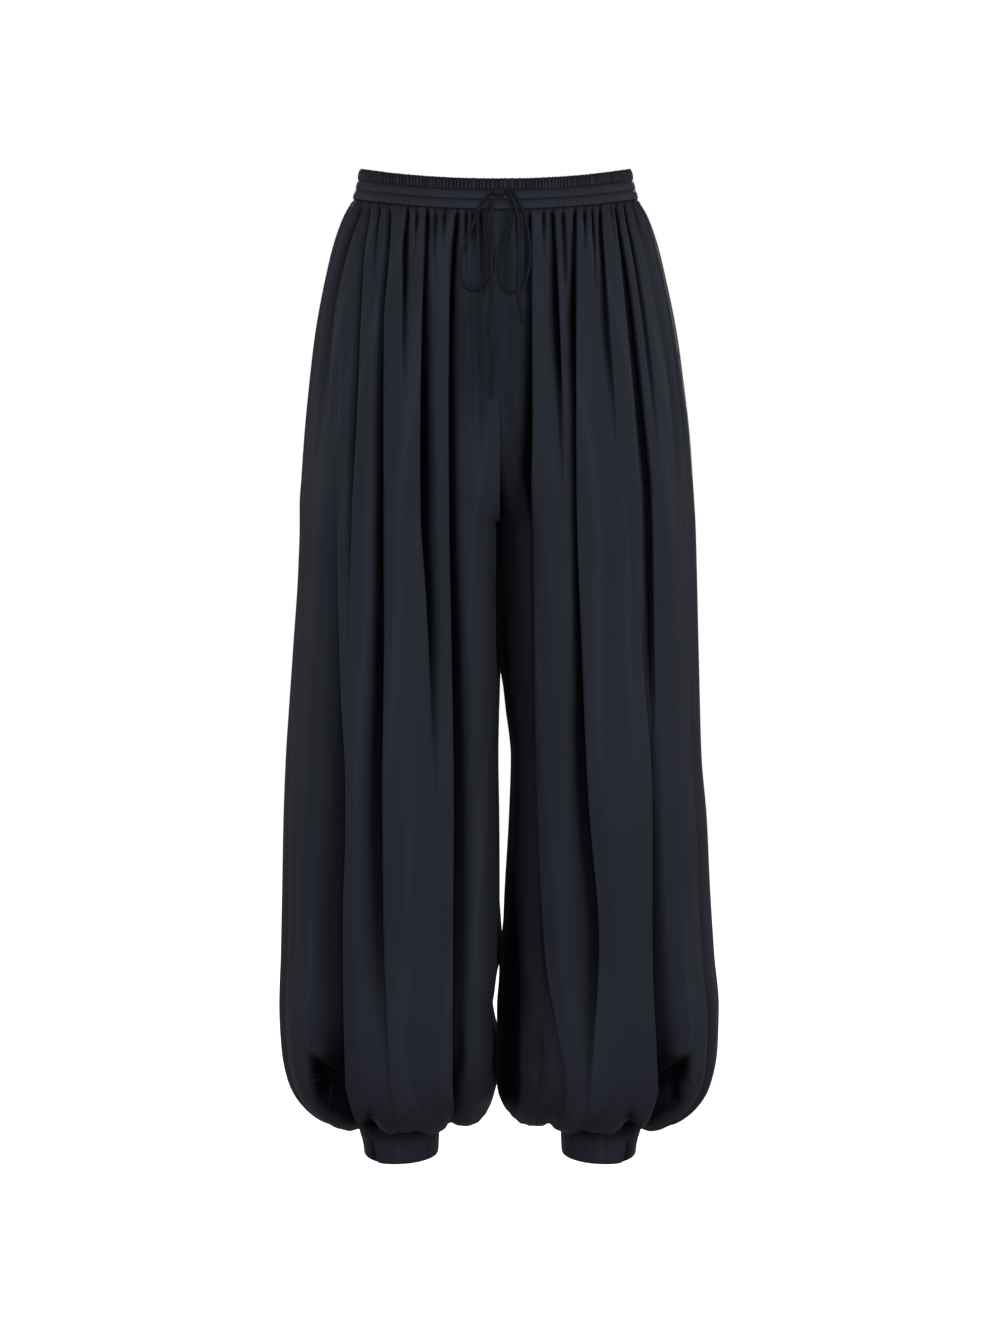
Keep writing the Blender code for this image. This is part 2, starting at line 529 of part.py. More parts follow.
def knot():
    """Wrapped knot in front of the cords: a squat body with a shallow groove round it."""
    mesh = bpy.data.meshes.new("drawcord_knot")
    work = bmesh.new()
    bmesh.ops.create_uvsphere(work, u_segments=12, v_segments=8, radius=MM)
    centre_y = front_y(3.5, -4) - 7.95
    for v in work.verts:
        x, y, z = v.co / MM
        groove = 1 - 0.14 * math.exp(-(x / 0.22) ** 2)
        v.co = Vector(((3.5 + 5.6 * x) * MM, (centre_y + 2.5 * y * groove) * MM,
                       (-4.0 + (4.6 - 0.8 * x) * z * groove) * MM))
    work.to_mesh(mesh)
    work.free()
    mesh.materials.append(satin("satin_knot", (0.018, 0.019, 0.026)))
    parts.objects.link(bpy.data.objects.new("drawcord_knot", mesh))


knot()
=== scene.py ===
import math

import bmesh
import bpy
import numpy as np
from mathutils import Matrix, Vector


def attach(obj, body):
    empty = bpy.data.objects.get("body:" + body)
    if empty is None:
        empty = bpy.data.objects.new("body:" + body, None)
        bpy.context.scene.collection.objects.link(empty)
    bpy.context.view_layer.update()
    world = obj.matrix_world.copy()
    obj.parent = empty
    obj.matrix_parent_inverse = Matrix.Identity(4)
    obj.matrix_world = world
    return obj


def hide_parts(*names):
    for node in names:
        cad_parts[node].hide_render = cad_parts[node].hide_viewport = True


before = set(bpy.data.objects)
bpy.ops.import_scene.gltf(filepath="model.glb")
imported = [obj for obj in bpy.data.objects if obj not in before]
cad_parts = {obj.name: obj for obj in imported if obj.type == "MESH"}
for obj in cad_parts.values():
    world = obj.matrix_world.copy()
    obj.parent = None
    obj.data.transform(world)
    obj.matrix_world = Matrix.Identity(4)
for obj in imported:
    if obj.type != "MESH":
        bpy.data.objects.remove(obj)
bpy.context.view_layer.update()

MM = 0.001
LEG_LINE = 4.5               # mm, the line between the legs, to the left of the waist's centre
CORD_D = 3.0                 # mm
CLOTH_THICK = 0.8            # mm

# Rows of a leg from the waist seam down to the cuff seam, in mm. Drop is the length of cloth from the
# waist's middle, saddle lifts the sides, lobe goes from one shared trunk (0) to two whole legs (1).
LEVELS = [
    # drop    z  saddle right left  in_r  in_l  lobe front back
    (16,   -15.8,  5.5,148.0,139.0,  .15,  .15, .00,  100, 101),
    (30,     -30,  4.6,157.0,148.0,  .15,  .15, .02,  103, 105),
    (55,     -55,  3.4,167.0,158.0,  .15,  .15, .05,  106, 111),
    (92,     -92,  2.0,176.7,167.7,  .15,  .15, .11,  109, 118),
    (145,   -145,  1.0,  187, 179,  .15,  .15, .24,  113, 124),
    (200,   -200,    0,  194, 187,  .15,  .15, .43,  115, 128),
    (250,   -250,    0,  199, 193,  .20,  .20, .64,  116, 128),
    (290,   -290,    0,  202, 196,  .40,  .40, .84,  116, 126),
    (318,   -318,    0,  204, 198,  .80,  .80, .96,  115, 123),
    (333,   -333,    0,  204, 199, 1.00, 1.00, 1.0,  115, 121),
    (388,   -388,    0,  206, 201, 1.00, 1.10, 1.0,  114, 119),
    (455,   -455,    0,  211, 203, 0.60, 0.70, 1.0,  114, 119),
    (520,   -520,    0,  216, 205, 0.70, 5.50, 1.0,  115, 120),
    (575,   -575,    0,  220, 207, 1.50, 11.0, 1.0,  116, 121),
    (640,   -640,    0,  223, 213, 0.60, 9.00, 1.0,  117, 122),
    (715,   -715,    0,  225, 217, 0.20, 4.60, 1.0,  119, 124),
    (785,   -785,    0,  227, 222, 0.80, 1.60, 1.0,  121, 126),
    (838,   -838,    0,  229, 227, 8.00, -3.2, 1.0,  123, 127),
    (880,   -880,    0,  227, 226, 4.00, -1.8, 1.0,  122, 126),
    (915,   -915, -1.0,  220, 220, 3.80, -1.5, 1.0,  116, 120),
    (944,   -938, -3.0,  206, 206, 9.00, 6.00, 1.0,  104, 107),
    (968,   -952, -5.0,  185, 185, 21.0, 20.0, 1.0,   86,  88),
    (995,   -956, -5.0,  163, 163, 41.0, 40.0, 1.0,   67,  68),
    (1018,-953.2, -2.0,  150, 150, 55.0, 55.0, 1.0,   55,  55),
    (1029, -951.6,   0,  144, 144, 62.0, 62.0, 1.0,   49,  49),
    (1031, -951.2,   0,  141, 141, 65.0, 65.0, 1.0, 45.8, 45.8),
]
DROP, HEIGHT, SADDLE, RIGHT, LEFT, IN_R, IN_L, LOBE, FRONT, BACK = range(10)

# How square the outline is at each drop, 2 for an ellipse, and the same beside the other leg.
SQUARENESS = [(16, 2.15), (100, 2.35), (250, 2.45), (333, 2.4), (500, 2.4), (900, 2.25), (968, 2.0),
              (1031, 2.0)]
INNER_SQUARE = {
    "right": [(16, 2.15), (100, 3.0), (200, 5.0), (340, 6.5), (850, 6.0), (930, 2.6), (968, 2.0)],
    "left": [(16, 2.15), (100, 3.0), (200, 3.8), (850, 3.4), (930, 2.6), (968, 2.0)],
}

# Sideways bend that both legs share beside the line between them: depth below the waist, bend (mm).
BEND = [(250, 0), (340, 4.5), (450, 4.5), (500, 1.0), (545, 0), (730, 0), (780, 4), (815, 0.8),
        (850, 0.8), (885, 4.5), (930, 3), (970, 0)]
BEND_DEPTH, BEND_REACH = 85, 45

# Folds. Each row: name, side of its crisp edge, how far out that edge lies at FOLD_DROPS (mm), then depth
# at the same drops and at the cuff (mm), and how wide the cloth falls away on the other side (mm).
# A flank fold is placed by its run from the side seam instead.
FOLD_DROPS = (20, 60, 130, 220, 310, 450, 600, 750, 900)
LOWEST_FOLD = FOLD_DROPS[-1]
CUFF_DROP = 1031
LOW_EDGES = {"right": (225, 3.9), "left": (222, -1.6)}  # mm, outer and inner, at LOWEST_FOLD
NAME, EDGE, OUT, DEEP, SOFT = range(5)
THIN = (3,) * len(FOLD_DROPS)  # a small gather's widths
RIGHT_FRONT = [
    ("flank_a", "soft", (10, 12, 15, 17, 18, 18, 20, 24, 26),
     (5, 7, 8, 7, 5, 3, 3, 4, 4, 3), (5, 7, 9, 11, 13, 14, 15, 15, 13)),
    ("flank_b", "in", (24, 29, 34, 38, 40, 44, 50, 56, 56),
     (6, 9, 9, 8, 6, 5, 6, 8, 8, 3), (4, 7, 10, 13, 16, 18, 22, 24, 20)),
    ("edge", "soft", (139, 156, 172, 178, 182, 186, 190, 194, 197),
     (3, 6, 7, 4, 0, 0, 0, 0, 0, 3), (9, 12, 14, 14, 12, 10, 10, 10, 10)),
    ("side", "in", (133.5, 145, 155, 161, 163, 161, 156, 159, 157),
     (0, 0, 0, 2, 5, 9, 20, 24, 26, 3), (4, 6, 8, 12, 18, 32, 42, 46, 46)),
    ("hip", "in", (128, 135.2, 139.5, 142.5, 147, 150, 148, 149, 147),
     (6, 12, 18, 18, 11, 2, 0, 0, 0, 3), (4, 6, 9, 12, 10, 6, 4, 4, 4)),
    ("hip_b", "both", (120, 124, 128, 131, 135, 137, 138, 138, 137),
     (5, 4, 0, 0, 0, 0, 0, 0, 0, 2), THIN),
    ("long", "in", (108.2, 110, 115.3, 116, 115.7, 116, 118, 116.5, 110),
     (6, 10, 15, 19, 19, 21, 21, 12, 2, 1), (4, 5.5, 8, 12, 13, 17, 28, 36, 30)),
    ("mid", "out", (92.5, 96.5, 96.5, 97, 98, 99, 100, 99, 94),
     (6, 11, 6, 0, 0, 0, 0, 0, 0, 2), (3, 6, 6, 4, 4, 4, 4, 4, 4)),
    ("mid_b", "both", (82, 84.5, 86, 87, 88, 88, 88, 86, 81),
     (5, 1, 0, 0, 0, 0, 0, 0, 0, 3), THIN),
    ("second", "out", (73.4, 74.8, 76.7, 77.7, 77.6, 70, 67, 68, 69),
     (6, 10, 17, 21, 20, 11, 1, 0, 0, 2), (3.5, 5, 8, 12, 15, 11, 4, 3, 3)),
    ("inner_a", "both", (64, 65, 65, 64, 63.5, 61, 60, 60, 61),
     (5, 3, 0, 0, 0, 0, 0, 0, 0, 3), THIN),
    ("inner_b", "both", (55, 57, 57.5, 57, 57, 56, 54, 54, 54),
     (5, 1, 0, 0, 0, 0, 0, 0, 0, 2), THIN),
    ("main", "out", (43.5, 46.8, 49.2, 50, 49.5, 46.8, 44.6, 46, 46.6),
     (6, 11, 17, 20, 20, 22, 22, 18, 14, 4), (4, 5, 6, 8, 10, 14, 21, 32, 28)),
    ("rise_a", "both", (33, 34, 34, 33, 32, 31, 30, 31, 31),
     (5, 2, 0, 0, 0, 0, 0, 0, 0, 2), THIN),
    ("rise_b", "soft", (26, 26, 25, 22, 21, 20, 20, 20, 20),
     (4, 3, 3, 2, 0, 0, 0, 0, 0, 3), (4, 7, 9, 9, 8, 8, 8, 8, 8)),
    ("rise_c", "both", (19, 18, 15, 12, 11, 11, 11, 11, 11),
     (4, 2, 0, 0, 0, 0, 0, 0, 0, 3), THIN),
]
LEFT_FRONT = [
    ("flank_a", "in", (12, 14, 16, 20, 24, 28, 30, 30, 26),
     (5, 8, 9, 7, 6, 5, 4, 4, 4, 3), (5, 7, 9, 11, 14, 16, 18, 18, 15)),
    ("flank_b", "soft", (26, 30, 36, 42, 48, 54, 58, 60, 58),
     (5, 6, 6, 6, 4, 4, 5, 6, 6, 3), (4, 6, 9, 12, 14, 15, 16, 16, 15)),
    ("side", "soft", (133, 147, 163, 177, 182, 187, 192, 196, 197),
     (3, 3, 5, 6, 4, 0, 0, 0, 0, 3), (6, 9, 12, 14, 14, 12, 12, 12, 12)),
    ("hip", "out", (125.5, 135, 146, 156, 163, 168, 173, 179, 178),
     (5, 7, 7, 4, 0, 0, 0, 0, 0, 2), (3, 5, 6, 6, 6, 5, 5, 5, 5)),
    ("long", "out", (117.5, 124.5, 135, 145, 153, 154.5, 159, 165, 168),
     (6, 10, 16, 20, 20, 12, 1, 0, 0, 3), (4, 6, 10, 13, 14, 14, 8, 5, 5)),
    ("low", "in", (109, 114, 122, 129, 134, 141, 153, 154.5, 161),
     (5, 1, 0, 0, 0, 5, 12, 22, 25, 3), (3, 3, 3, 3, 3, 8, 16, 28, 44)),
    ("mid", "out", (101, 104, 108, 114, 118, 121, 127, 133, 136),
     (5, 8, 9, 3, 0, 0, 0, 0, 0, 2), (4, 7, 10, 8, 6, 5, 5, 5, 5)),
    ("mid_b", "both", (92, 94, 96, 99, 102, 106, 113, 119, 122),
     (5, 4, 1, 0, 0, 0, 0, 0, 0, 2), (3, 3.5, 4, 4, 4, 4, 4, 4, 4)),
    ("mid_c", "both", (84, 85, 86, 88, 90, 94, 103, 112, 110),
     (5, 2, 0, 0, 0, 0, 0, 0, 0, 3), THIN),
    ("second", "out", (76, 75.5, 74.8, 74.6, 75.4, 80.4, 87.5, 98.5, 90),
     (6, 9, 16, 12, 13, 19, 22, 16, 3, 0), (3.5, 5, 9, 6, 6, 11, 26, 36, 22)),
    ("inner_a", "both", (62.5, 64.5, 66, 67, 68, 70, 73, 78, 79),
     (5, 5, 2, 0, 0, 0, 0, 0, 0, 2), (3, 4, 4, 3, 3, 3, 3, 3, 3)),
    ("inner_b", "out", (53.5, 55.6, 58.2, 61.6, 62.6, 62, 65, 69, 72),
     (6, 10, 15, 7, 1, 0, 0, 0, 0, 3), (3.5, 6, 10, 9, 6, 4, 4, 4, 4)),
    ("inner_c", "both", (43, 44, 45, 47, 48, 49, 52, 58, 66),
     (5, 2, 0, 0, 0, 0, 0, 0, 0, 2), THIN),
    ("main", "out", (31, 31, 31, 31.4, 29.5, 31, 33.5, 42, 70),
     (4, 5, 10, 17, 20, 21, 21, 18, 2, 0), (4, 5, 7, 12, 22, 26, 28, 30, 22)),
    ("rise", "both", (17, 17, 16, 13, 12, 12, 14, 18, 24),
     (4, 1, 0, 0, 0, 0, 0, 0, 0, 3), THIN),
]
BACK_FOLDS = [
    ("flank_a", "soft", (13, 15, 18, 22, 26, 28, 28, 28, 26),
     (5, 6, 7, 8, 6, 4, 4, 5, 5, 3), (5, 7, 9, 12, 14, 15, 16, 16, 14)),
    ("flank_b", "out", (25, 31, 37, 42, 46, 52, 56, 58, 58),
     (6, 9, 10, 8, 6, 6, 8, 9, 8, 3), (4, 7, 10, 13, 16, 20, 24, 24, 20)),
    ("edge", "soft", (135, 152, 170, 178, 182, 186, 190, 194, 196),
     (3, 5, 6, 4, 0, 0, 0, 0, 0, 3), (8, 12, 13, 13, 12, 10, 10, 10, 10)),
    ("side", "in", (129, 141, 154, 160, 161, 160, 158, 160, 158),
     (4, 3, 2, 2, 5, 11, 19, 22, 22, 3), (4, 6, 8, 12, 18, 24, 26, 28, 26)),
    ("hip", "out", (122, 129, 136, 142, 145, 147, 147, 148, 147),
     (5, 8, 9, 5, 0, 0, 0, 0, 0, 3), (3, 6, 9, 9, 6, 5, 5, 5, 5)),
    ("long", "in", (108, 109, 112, 115, 117, 119, 122, 124, 118),
     (5, 9, 16, 20, 19, 18, 18, 12, 6, 3), (4, 5, 9, 12, 12, 12, 14, 16, 10)),
    ("mid", "both", (95, 96, 97, 98, 99, 100, 102, 103, 101),
     (5, 6, 2, 0, 0, 0, 0, 0, 0, 3), (3, 4, 4, 4, 4, 4, 4, 4, 4)),
    ("second", "out", (81, 83, 84, 84, 84, 84, 85, 86, 85),
     (5, 9, 15, 17, 12, 6, 1, 0, 0, 3), (4, 6, 10, 12, 12, 9, 5, 4, 4)),
    ("inner_a", "both", (67, 68, 69, 69, 69, 69, 70, 71, 70),
     (5, 4, 0, 0, 0, 0, 0, 0, 0, 3), (3, 3.5, 4, 4, 4, 4, 4, 4, 4)),
    ("main", "out", (54, 57, 59, 60, 60, 59, 58, 59, 57),
     (5, 10, 17, 22, 22, 21, 22, 20, 12, 4), (4, 6, 10, 14, 16, 17, 18, 18, 14)),
    ("inner_b", "both", (40, 40, 39, 38, 37, 36, 36, 37, 37),
     (5, 3, 0, 0, 0, 0, 0, 0, 0, 3), THIN),
    ("rise_a", "in", (27, 28, 28, 27, 26, 25, 25, 25, 25),
     (5, 7, 6, 3, 0, 0, 0, 0, 0, 3), (4, 6, 8, 8, 6, 5, 5, 5, 5)),
    ("rise_b", "both", (14, 14, 14, 13, 12, 12, 12, 12, 12),
     (4, 2, 0, 0, 0, 0, 0, 0, 0, 3), THIN),
]

# The wearer's left back has the same folds, shifted (mm) and deeper or shallower.
BACK_SHIFT = {"flank_a": -3, "flank_b": 3, "side": -3, "hip": -4, "long": -6, "mid": -4, "second": -7,
              "inner_a": -5, "main": -8, "inner_b": -3, "rise_a": 2, "rise_b": 1}
BACK_GAIN = {"side": 1.1, "hip": 1.2, "long": 0.8, "second": 1.15, "main": 0.9, "rise_a": 1.4}

CRISP = 2.2                  # mm, run of the steep side of a fold
UNDERCUT = 0.32              # share of a fold's depth that its bottom lies under its crisp edge
BROAD_SHARE, BROAD_WIDTH = 0.14, 22.0  # share of a deep fold that is a wide hollow, its half width (mm)
NARROW_RUN = 3.2             # mm, half width of a small gather
FOLD_ROOM, FOLD_GAP = 2.0, 1.5         # mm kept between the lines of two folds, from either side
FINE_STEP, COARSE_STEP = 1.6, 4.2      # mm between cloth points along the outline

# Local dents: name, out, drops where it starts and ends, how fast it comes and goes, half run, depth,
# side of its crisp edge (mm). The back's are nearer the middle and shallower.
DENTS = [
    ("lobe_pocket", 190, 860, 964, 32, 54, 42, 28, "out"),
    ("inner_tuck",   34, 800, 925, 60, 60,  9,  5, "in"),
]
BACK_DENT_SHIFT, BACK_DENT_SHARE = 6, 0.3

# Wavy lower edge of the puff: out, how far it is raised or (below zero) sags, mm.
HEM = [(8, 0), (30, -1), (44, 1), (50.5, 5), (56, -1), (60.6, -3), (69, -6), (74, -5), (83, -2),
       (91, -2), (101, -4), (114, -6), (121, -1), (126, 6), (132, 11), (138, 3), (142, -5), (155, -5),
       (165, -3), (174, 0)]
HEM_NOTCH = 132              # mm, where the edge is raised most
BACK_HEM_STRETCH, BACK_HEM_SHARE = 1.07, 0.7

# Painted shade that deep cloth keeps, by drop: in the folds, at the middle, a painted shadow behind the bow,
# and between the legs, whose table also sets how far the left leg's inner cloth is pushed back. The last
# table is how far out the left leg's inner cloth is painted black as shade, mm.
DEPTH_SHADE = [(16, 1.0), (250, 1.0), (480, 0.9), (650, 0.72), (830, 0.68), (880, 1.0), (1031, 1.0)]
CENTRE_SHADE = {"right": [(60, 0), (120, 1.0), (180, 1.0), (250, 0.1), (1031, 0.0)],
                "left": [(60, 0), (120, 1.0), (420, 1.0), (600, 0.2), (1031, 0.2)]}
BOW_SHADE = [(14, 0), (28, 1.0), (90, 1.0), (135, 0)]
BOW_PITCH, BOW_PHASE, BOW_REACH = 20.5, 6, (25, 33)
INNER_SHADE_AND_SETBACK = [(90, 0), (150, 0.35), (215, 0.5), (260, 0.75), (330, 0.9), (430, 1.0), (810, 1.0),
               (880, 0.3), (990, 0.2)]
INNER_SHADOW_REACH = [(240, -3), (310, 3), (400, 6), (500, 9), (600, 10), (700, 13), (800, 16), (900, 19),
               (990, 14)]

# Drawcord. Each row: across, height, way off the cloth (mm).
CORD_LONG = [
    (1.2, -2.8, 3.6), (-3.0, -3.2, 3.4), (-7.5, -7, 2.2), (-13, -14, 2.0), (-18.5, -26, 2.0), (-24, -41, 2.0),
    (-30, -55, 2.0), (-35, -72, 2.0), (-35.5, -87, 2.0), (-31.5, -95, 2.0), (-24, -99, 2.0),
    (-15, -97.5, 2.0), (-7.5, -89, 2.0), (-4, -76.5, 2.0), (-5.5, -62, 2.0), (-9, -50, 2.0), (-11, -39, 2.0),
    (-9.5, -24, 2.1), (-6.5, -15, 2.9), (-3.6, -10.5, 5.5), (-3.0, -14, 6.6), (-3.5, -34, 6.6),
    (-3.2, -54, 6.6), (-3.6, -75, 6.6), (-3.8, -104, 6.2), (-6, -122, 5.0), (-7, -134, 3.6), (-4, -154, 2.8),
    (-3.6, -177, 2.0), (-4, -204, 1.9),
]
CORD_SHORT = [
    (5.2, -4.6, 3.6), (9.5, -2, 2.1), (14.5, -7, 2.0), (16, -17, 2.0), (15, -31, 2.0), (10.5, -47, 2.0),
    (6, -60, 2.0), (3.2, -73, 2.0), (3.6, -87, 2.0), (7.5, -97, 2.0), (15, -102.5, 2.0), (21.5, -101.5, 2.0),
    (28, -95.5, 2.0), (31.5, -84, 2.0), (34, -71, 2.0), (33.5, -57, 2.0), (32, -41, 2.0), (27, -22, 2.0),
    (21, -9.5, 2.1), (15.5, -0.5, 3.6), (11, 0.8, 6.8), (12.6, -4.5, 7.4), (18.5, -12, 6.8), (22.4, -30, 6.6),
    (22.8, -52, 6.6), (22.6, -80, 6.6), (22.4, -107, 6.2), (25.5, -118, 4.4), (27.5, -131, 2.1),
]

# Knot: its middle (across, height), how far that lies off the cloth, its half sizes and taper, mm.
KNOT_AT, KNOT_OFF, KNOT_HALF, KNOT_TAPER = (3.5, -4.0), 7.95, (5.6, 2.55, 4.6), 0.8
CORD_STEP = 4.0              # mm between points of a cord's line
CORD_EASE = 20               # points on either side that round its table's corners

# Waistband: its lower and upper edge, how far its wall leans in (below zero) at a height, the two sewn
# lines between its three channels, its wall and its stitches, all in mm.
BAND_LOW, BAND_HIGH = -15.2, 15.0
BAND_FLARE = [(BAND_LOW, 0.0), (-5, -3.3), (5, -6.1), (BAND_HIGH, -8.2)]
BAND_SEAMS = (-5.6, 3.6)
BAND_WALL = 1.9
STITCH_PITCH, STITCH_R, STITCH_OFF = 2.6, 0.22, 0.05

# Cuffs, mm and degrees round from the outer side towards the back. CUFF_OUTLINE is a cut through the
# wall: share of its height, way out. The painted shade rows are by angle and by share of the height: shadow
# under the lap, under the puff's overhang and at the lower edge.
CUFF_CENTRE = 103.0
CUFF_HALF = (40.0, 48.0)
CUFF_TAPER = (1.2, 1.0)
CUFF_TOP, CUFF_END = -952.6, -993.5
CUFF_WALL = 1.6
CUFF_STEP = 2.4              # how far the lap's end lies over the cuff below it
CUFF_FLARE = 6.0             # how much wider the cuff's outer side is at its top
CUFF_START, CUFF_TURN = -67.0, 385.0
CUFF_OUTLINE = [(0.0, -0.8), (0.03, -0.2), (0.08, 0.05), (0.2, 0.1), (0.35, 0.15), (0.5, 0.2), (0.65, 0.15),
                (0.8, 0.1), (0.93, 0.0), (1.0, -0.2), (1.0, -CUFF_WALL), (0.6, -CUFF_WALL),
                (0.3, -CUFF_WALL), (0.0, -CUFF_WALL)]
LAP_SHADE = [(-67, 1), (-44, 1), (-35, 0.5), (-22, 0)]
LAP_SHADE_UP = [(0.35, 1), (0.7, 0.15)]
PUFF_SHADE = [(0.55, 0), (0.85, 1)]
EDGE_SHADE = [(0, 1), (0.05, 0)]
LAP_START, LAP_RUN = 330, 30  # degrees from CUFF_START to the lap's rise, and over its rise
BUTTON_R, BUTTON_HEIGHT, BUTTON_BACK, BUTTON_OFF = 3.0, -975.0, 6, 2.1

# Camera: focal length in pixels of a picture PHOTO_HEIGHT high, then places in m.
PHOTO_HEIGHT, PHOTO_FOCAL = 1334, 3346
EYE_HEIGHT, AIM_HEIGHT, EYE_DISTANCE = -0.06, -0.484, 3.4


def in_scene(name, data):
    obj = bpy.data.objects.new(name, data)
    bpy.context.scene.collection.objects.link(obj)
    return obj


# Camera
eye = bpy.data.cameras.new("camera")
eye.sensor_fit = "VERTICAL"
eye.sensor_height = 36.0
eye.lens = eye.sensor_height * PHOTO_FOCAL / PHOTO_HEIGHT
camera = in_scene("camera", eye)
camera.location = (LEG_LINE * MM, -EYE_DISTANCE, EYE_HEIGHT)
aim = Vector((LEG_LINE * MM, 0, AIM_HEIGHT)) - camera.location
camera.rotation_euler = aim.to_track_quat("-Z", "Y").to_euler()
bpy.context.scene.camera = camera


# Shared shape tools
def value_at(table, x):
    """Value at x on the straight lines through a table of (place, value) rows."""
    return np.interp(x, *zip(*table))


def smooth_run(xs, ys, x):
    """Smooth line through table values that never overshoots them."""
    xs, ys, x = (np.asarray(v, float) for v in (xs, ys, x))
    step = np.diff(xs)
    slope = np.diff(ys) / step
    m = np.zeros(len(xs))
    for i in range(1, len(xs) - 1):
        if slope[i - 1] * slope[i] > 0:
            a, b = 2 * step[i] + step[i - 1], step[i] + 2 * step[i - 1]
            m[i] = (a + b) / (a / slope[i - 1] + b / slope[i])
    m[0], m[-1] = slope[0], slope[-1]
    x = np.clip(x, xs[0], xs[-1])
    k = np.clip(np.searchsorted(xs, x) - 1, 0, len(step) - 1)
    t = (x - xs[k]) / step[k]
    return (ys[k] * (1 + 2 * t) * (1 - t) ** 2 + m[k] * step[k] * t * (1 - t) ** 2
            + ys[k + 1] * t * t * (3 - 2 * t) + m[k + 1] * step[k] * t * t * (t - 1))


def levels_at(drops):
    table = np.array(LEVELS, float)
    return np.stack([smooth_run(table[:, DROP], table[:, k], drops) for k in range(table.shape[1])], 1)


def edges_of(level, side):
    """Outer and inner edge of a leg, at one level or at all of them."""
    return (level[..., RIGHT], level[..., IN_R]) if side == "right" else (level[..., LEFT], level[..., IN_L])


def section(level, side, face, count=500):
    """Outline of one leg panel at a level, from the side seam to its inner end."""
    level = np.asarray(level, float)
    outer, inner = edges_of(level, side)
    whole_leg = level[LOBE] > 0.9985
    lobe = 1.0 if whole_leg else level[LOBE]
    inner = inner if whole_leg else 0.0
    depth = level[FRONT] if face == "front" else level[BACK]
    centre = inner + lobe * (outer - inner) / 2
    reach = outer - centre
    power = 2 / value_at(SQUARENESS, level[DROP])
    inner_power = 2 / value_at(INNER_SQUARE[side], level[DROP])
    last = math.acos(-((lobe / (2 - lobe)) ** (1 / inner_power))) if lobe > 0 else math.pi / 2
    turn = np.linspace(0, last, count)
    cos, sin = np.cos(turn), np.sin(turn)
    power = np.where(cos < 0, inner_power, power)
    u = centre + reach * np.sign(cos) * np.abs(cos) ** power
    y = depth * np.abs(sin) ** power
    z = level[HEIGHT] + level[SADDLE] * np.cos(2 * turn)
    if whole_leg:
        u[-1], y[-1] = inner, 0
    u[0] = outer
    return u, (-y if face == "front" else y), z


def is_flank(row):
    return row[NAME].startswith("flank")


def fold_places(row, levels, side):
    """How far out a fold lies at each row. Below LOWEST_FOLD it keeps its share of the leg's width."""
    place = smooth_run(FOLD_DROPS, row[OUT], np.minimum(levels[:, DROP], LOWEST_FOLD))
    if is_flank(row):
        return place
    outer, inner = edges_of(levels, side)
    wide, near = LOW_EDGES[side]
    share = (row[OUT][-1] - near) / (wide - near)
    return np.where(levels[:, DROP] <= LOWEST_FOLD, place, inner + share * (outer - inner))


def fold_sizes(folds, drops):
    """Depth and soft width of each fold at each row, sharpest at the waist seam."""
    depths = np.array([smooth_run(FOLD_DROPS + (CUFF_DROP,), row[DEEP], drops) for row in folds])
    depths *= np.clip((drops - 15) / 9, 0, 1) ** 0.8 * (1 + 0.6 * np.exp(-np.maximum(0, drops - 20) / 25))
    widths = np.array([smooth_run(FOLD_DROPS, row[SOFT], np.minimum(drops, LOWEST_FOLD)) for row in folds])
    widths *= 1 - 0.25 * np.exp(-np.maximum(0, drops - 20) / 40)
    return depths, widths


def fold_lines(folds, places, levels, side, face):
    """The panel's outline at each row, and the run along it from the side seam to each fold."""
    outlines, marks = [], []
    for r, level in enumerate(levels):
        u, y, z = section(level, side, face)
        run = np.concatenate([[0], np.cumsum(np.hypot(np.diff(u), np.diff(y)))])
        mark = [0.0]
        for row, place in zip(folds, places):
            at = place[r] if is_flank(row) else float(np.interp(-place[r], -u, run))
            at += {"out": CRISP, "in": -CRISP}.get(row[EDGE], 0)
            mark.append(max(at, mark[-1] + FOLD_ROOM))
        mark.append(run[-1])
        for k in range(len(mark) - 2, 0, -1):
            mark[k] = min(mark[k], mark[k + 1] - FOLD_GAP)
        outlines.append((run, u, y, z))
        marks.append(mark)
    return outlines, np.array(marks)


def point_columns(marks):
    """Columns of cloth points down the panel, closer together beside the folds."""
    gaps = np.diff(marks, axis=1).mean(0)
    columns = [marks[:, 0]]
    step = FINE_STEP
    for k, (gap, left) in enumerate(zip(gaps, marks.T)):
        count = max(3, int(round(gap / step)))
        even = np.arange(1, count + 1) / count
        near = 0.5 - 0.5 * np.cos(np.pi * even) if 0 < k < len(gaps) - 1 else even
        columns += [left + (marks[:, k + 1] - left) * share for share in 0.3 * even + 0.7 * near]
    return np.stack(columns, 1)


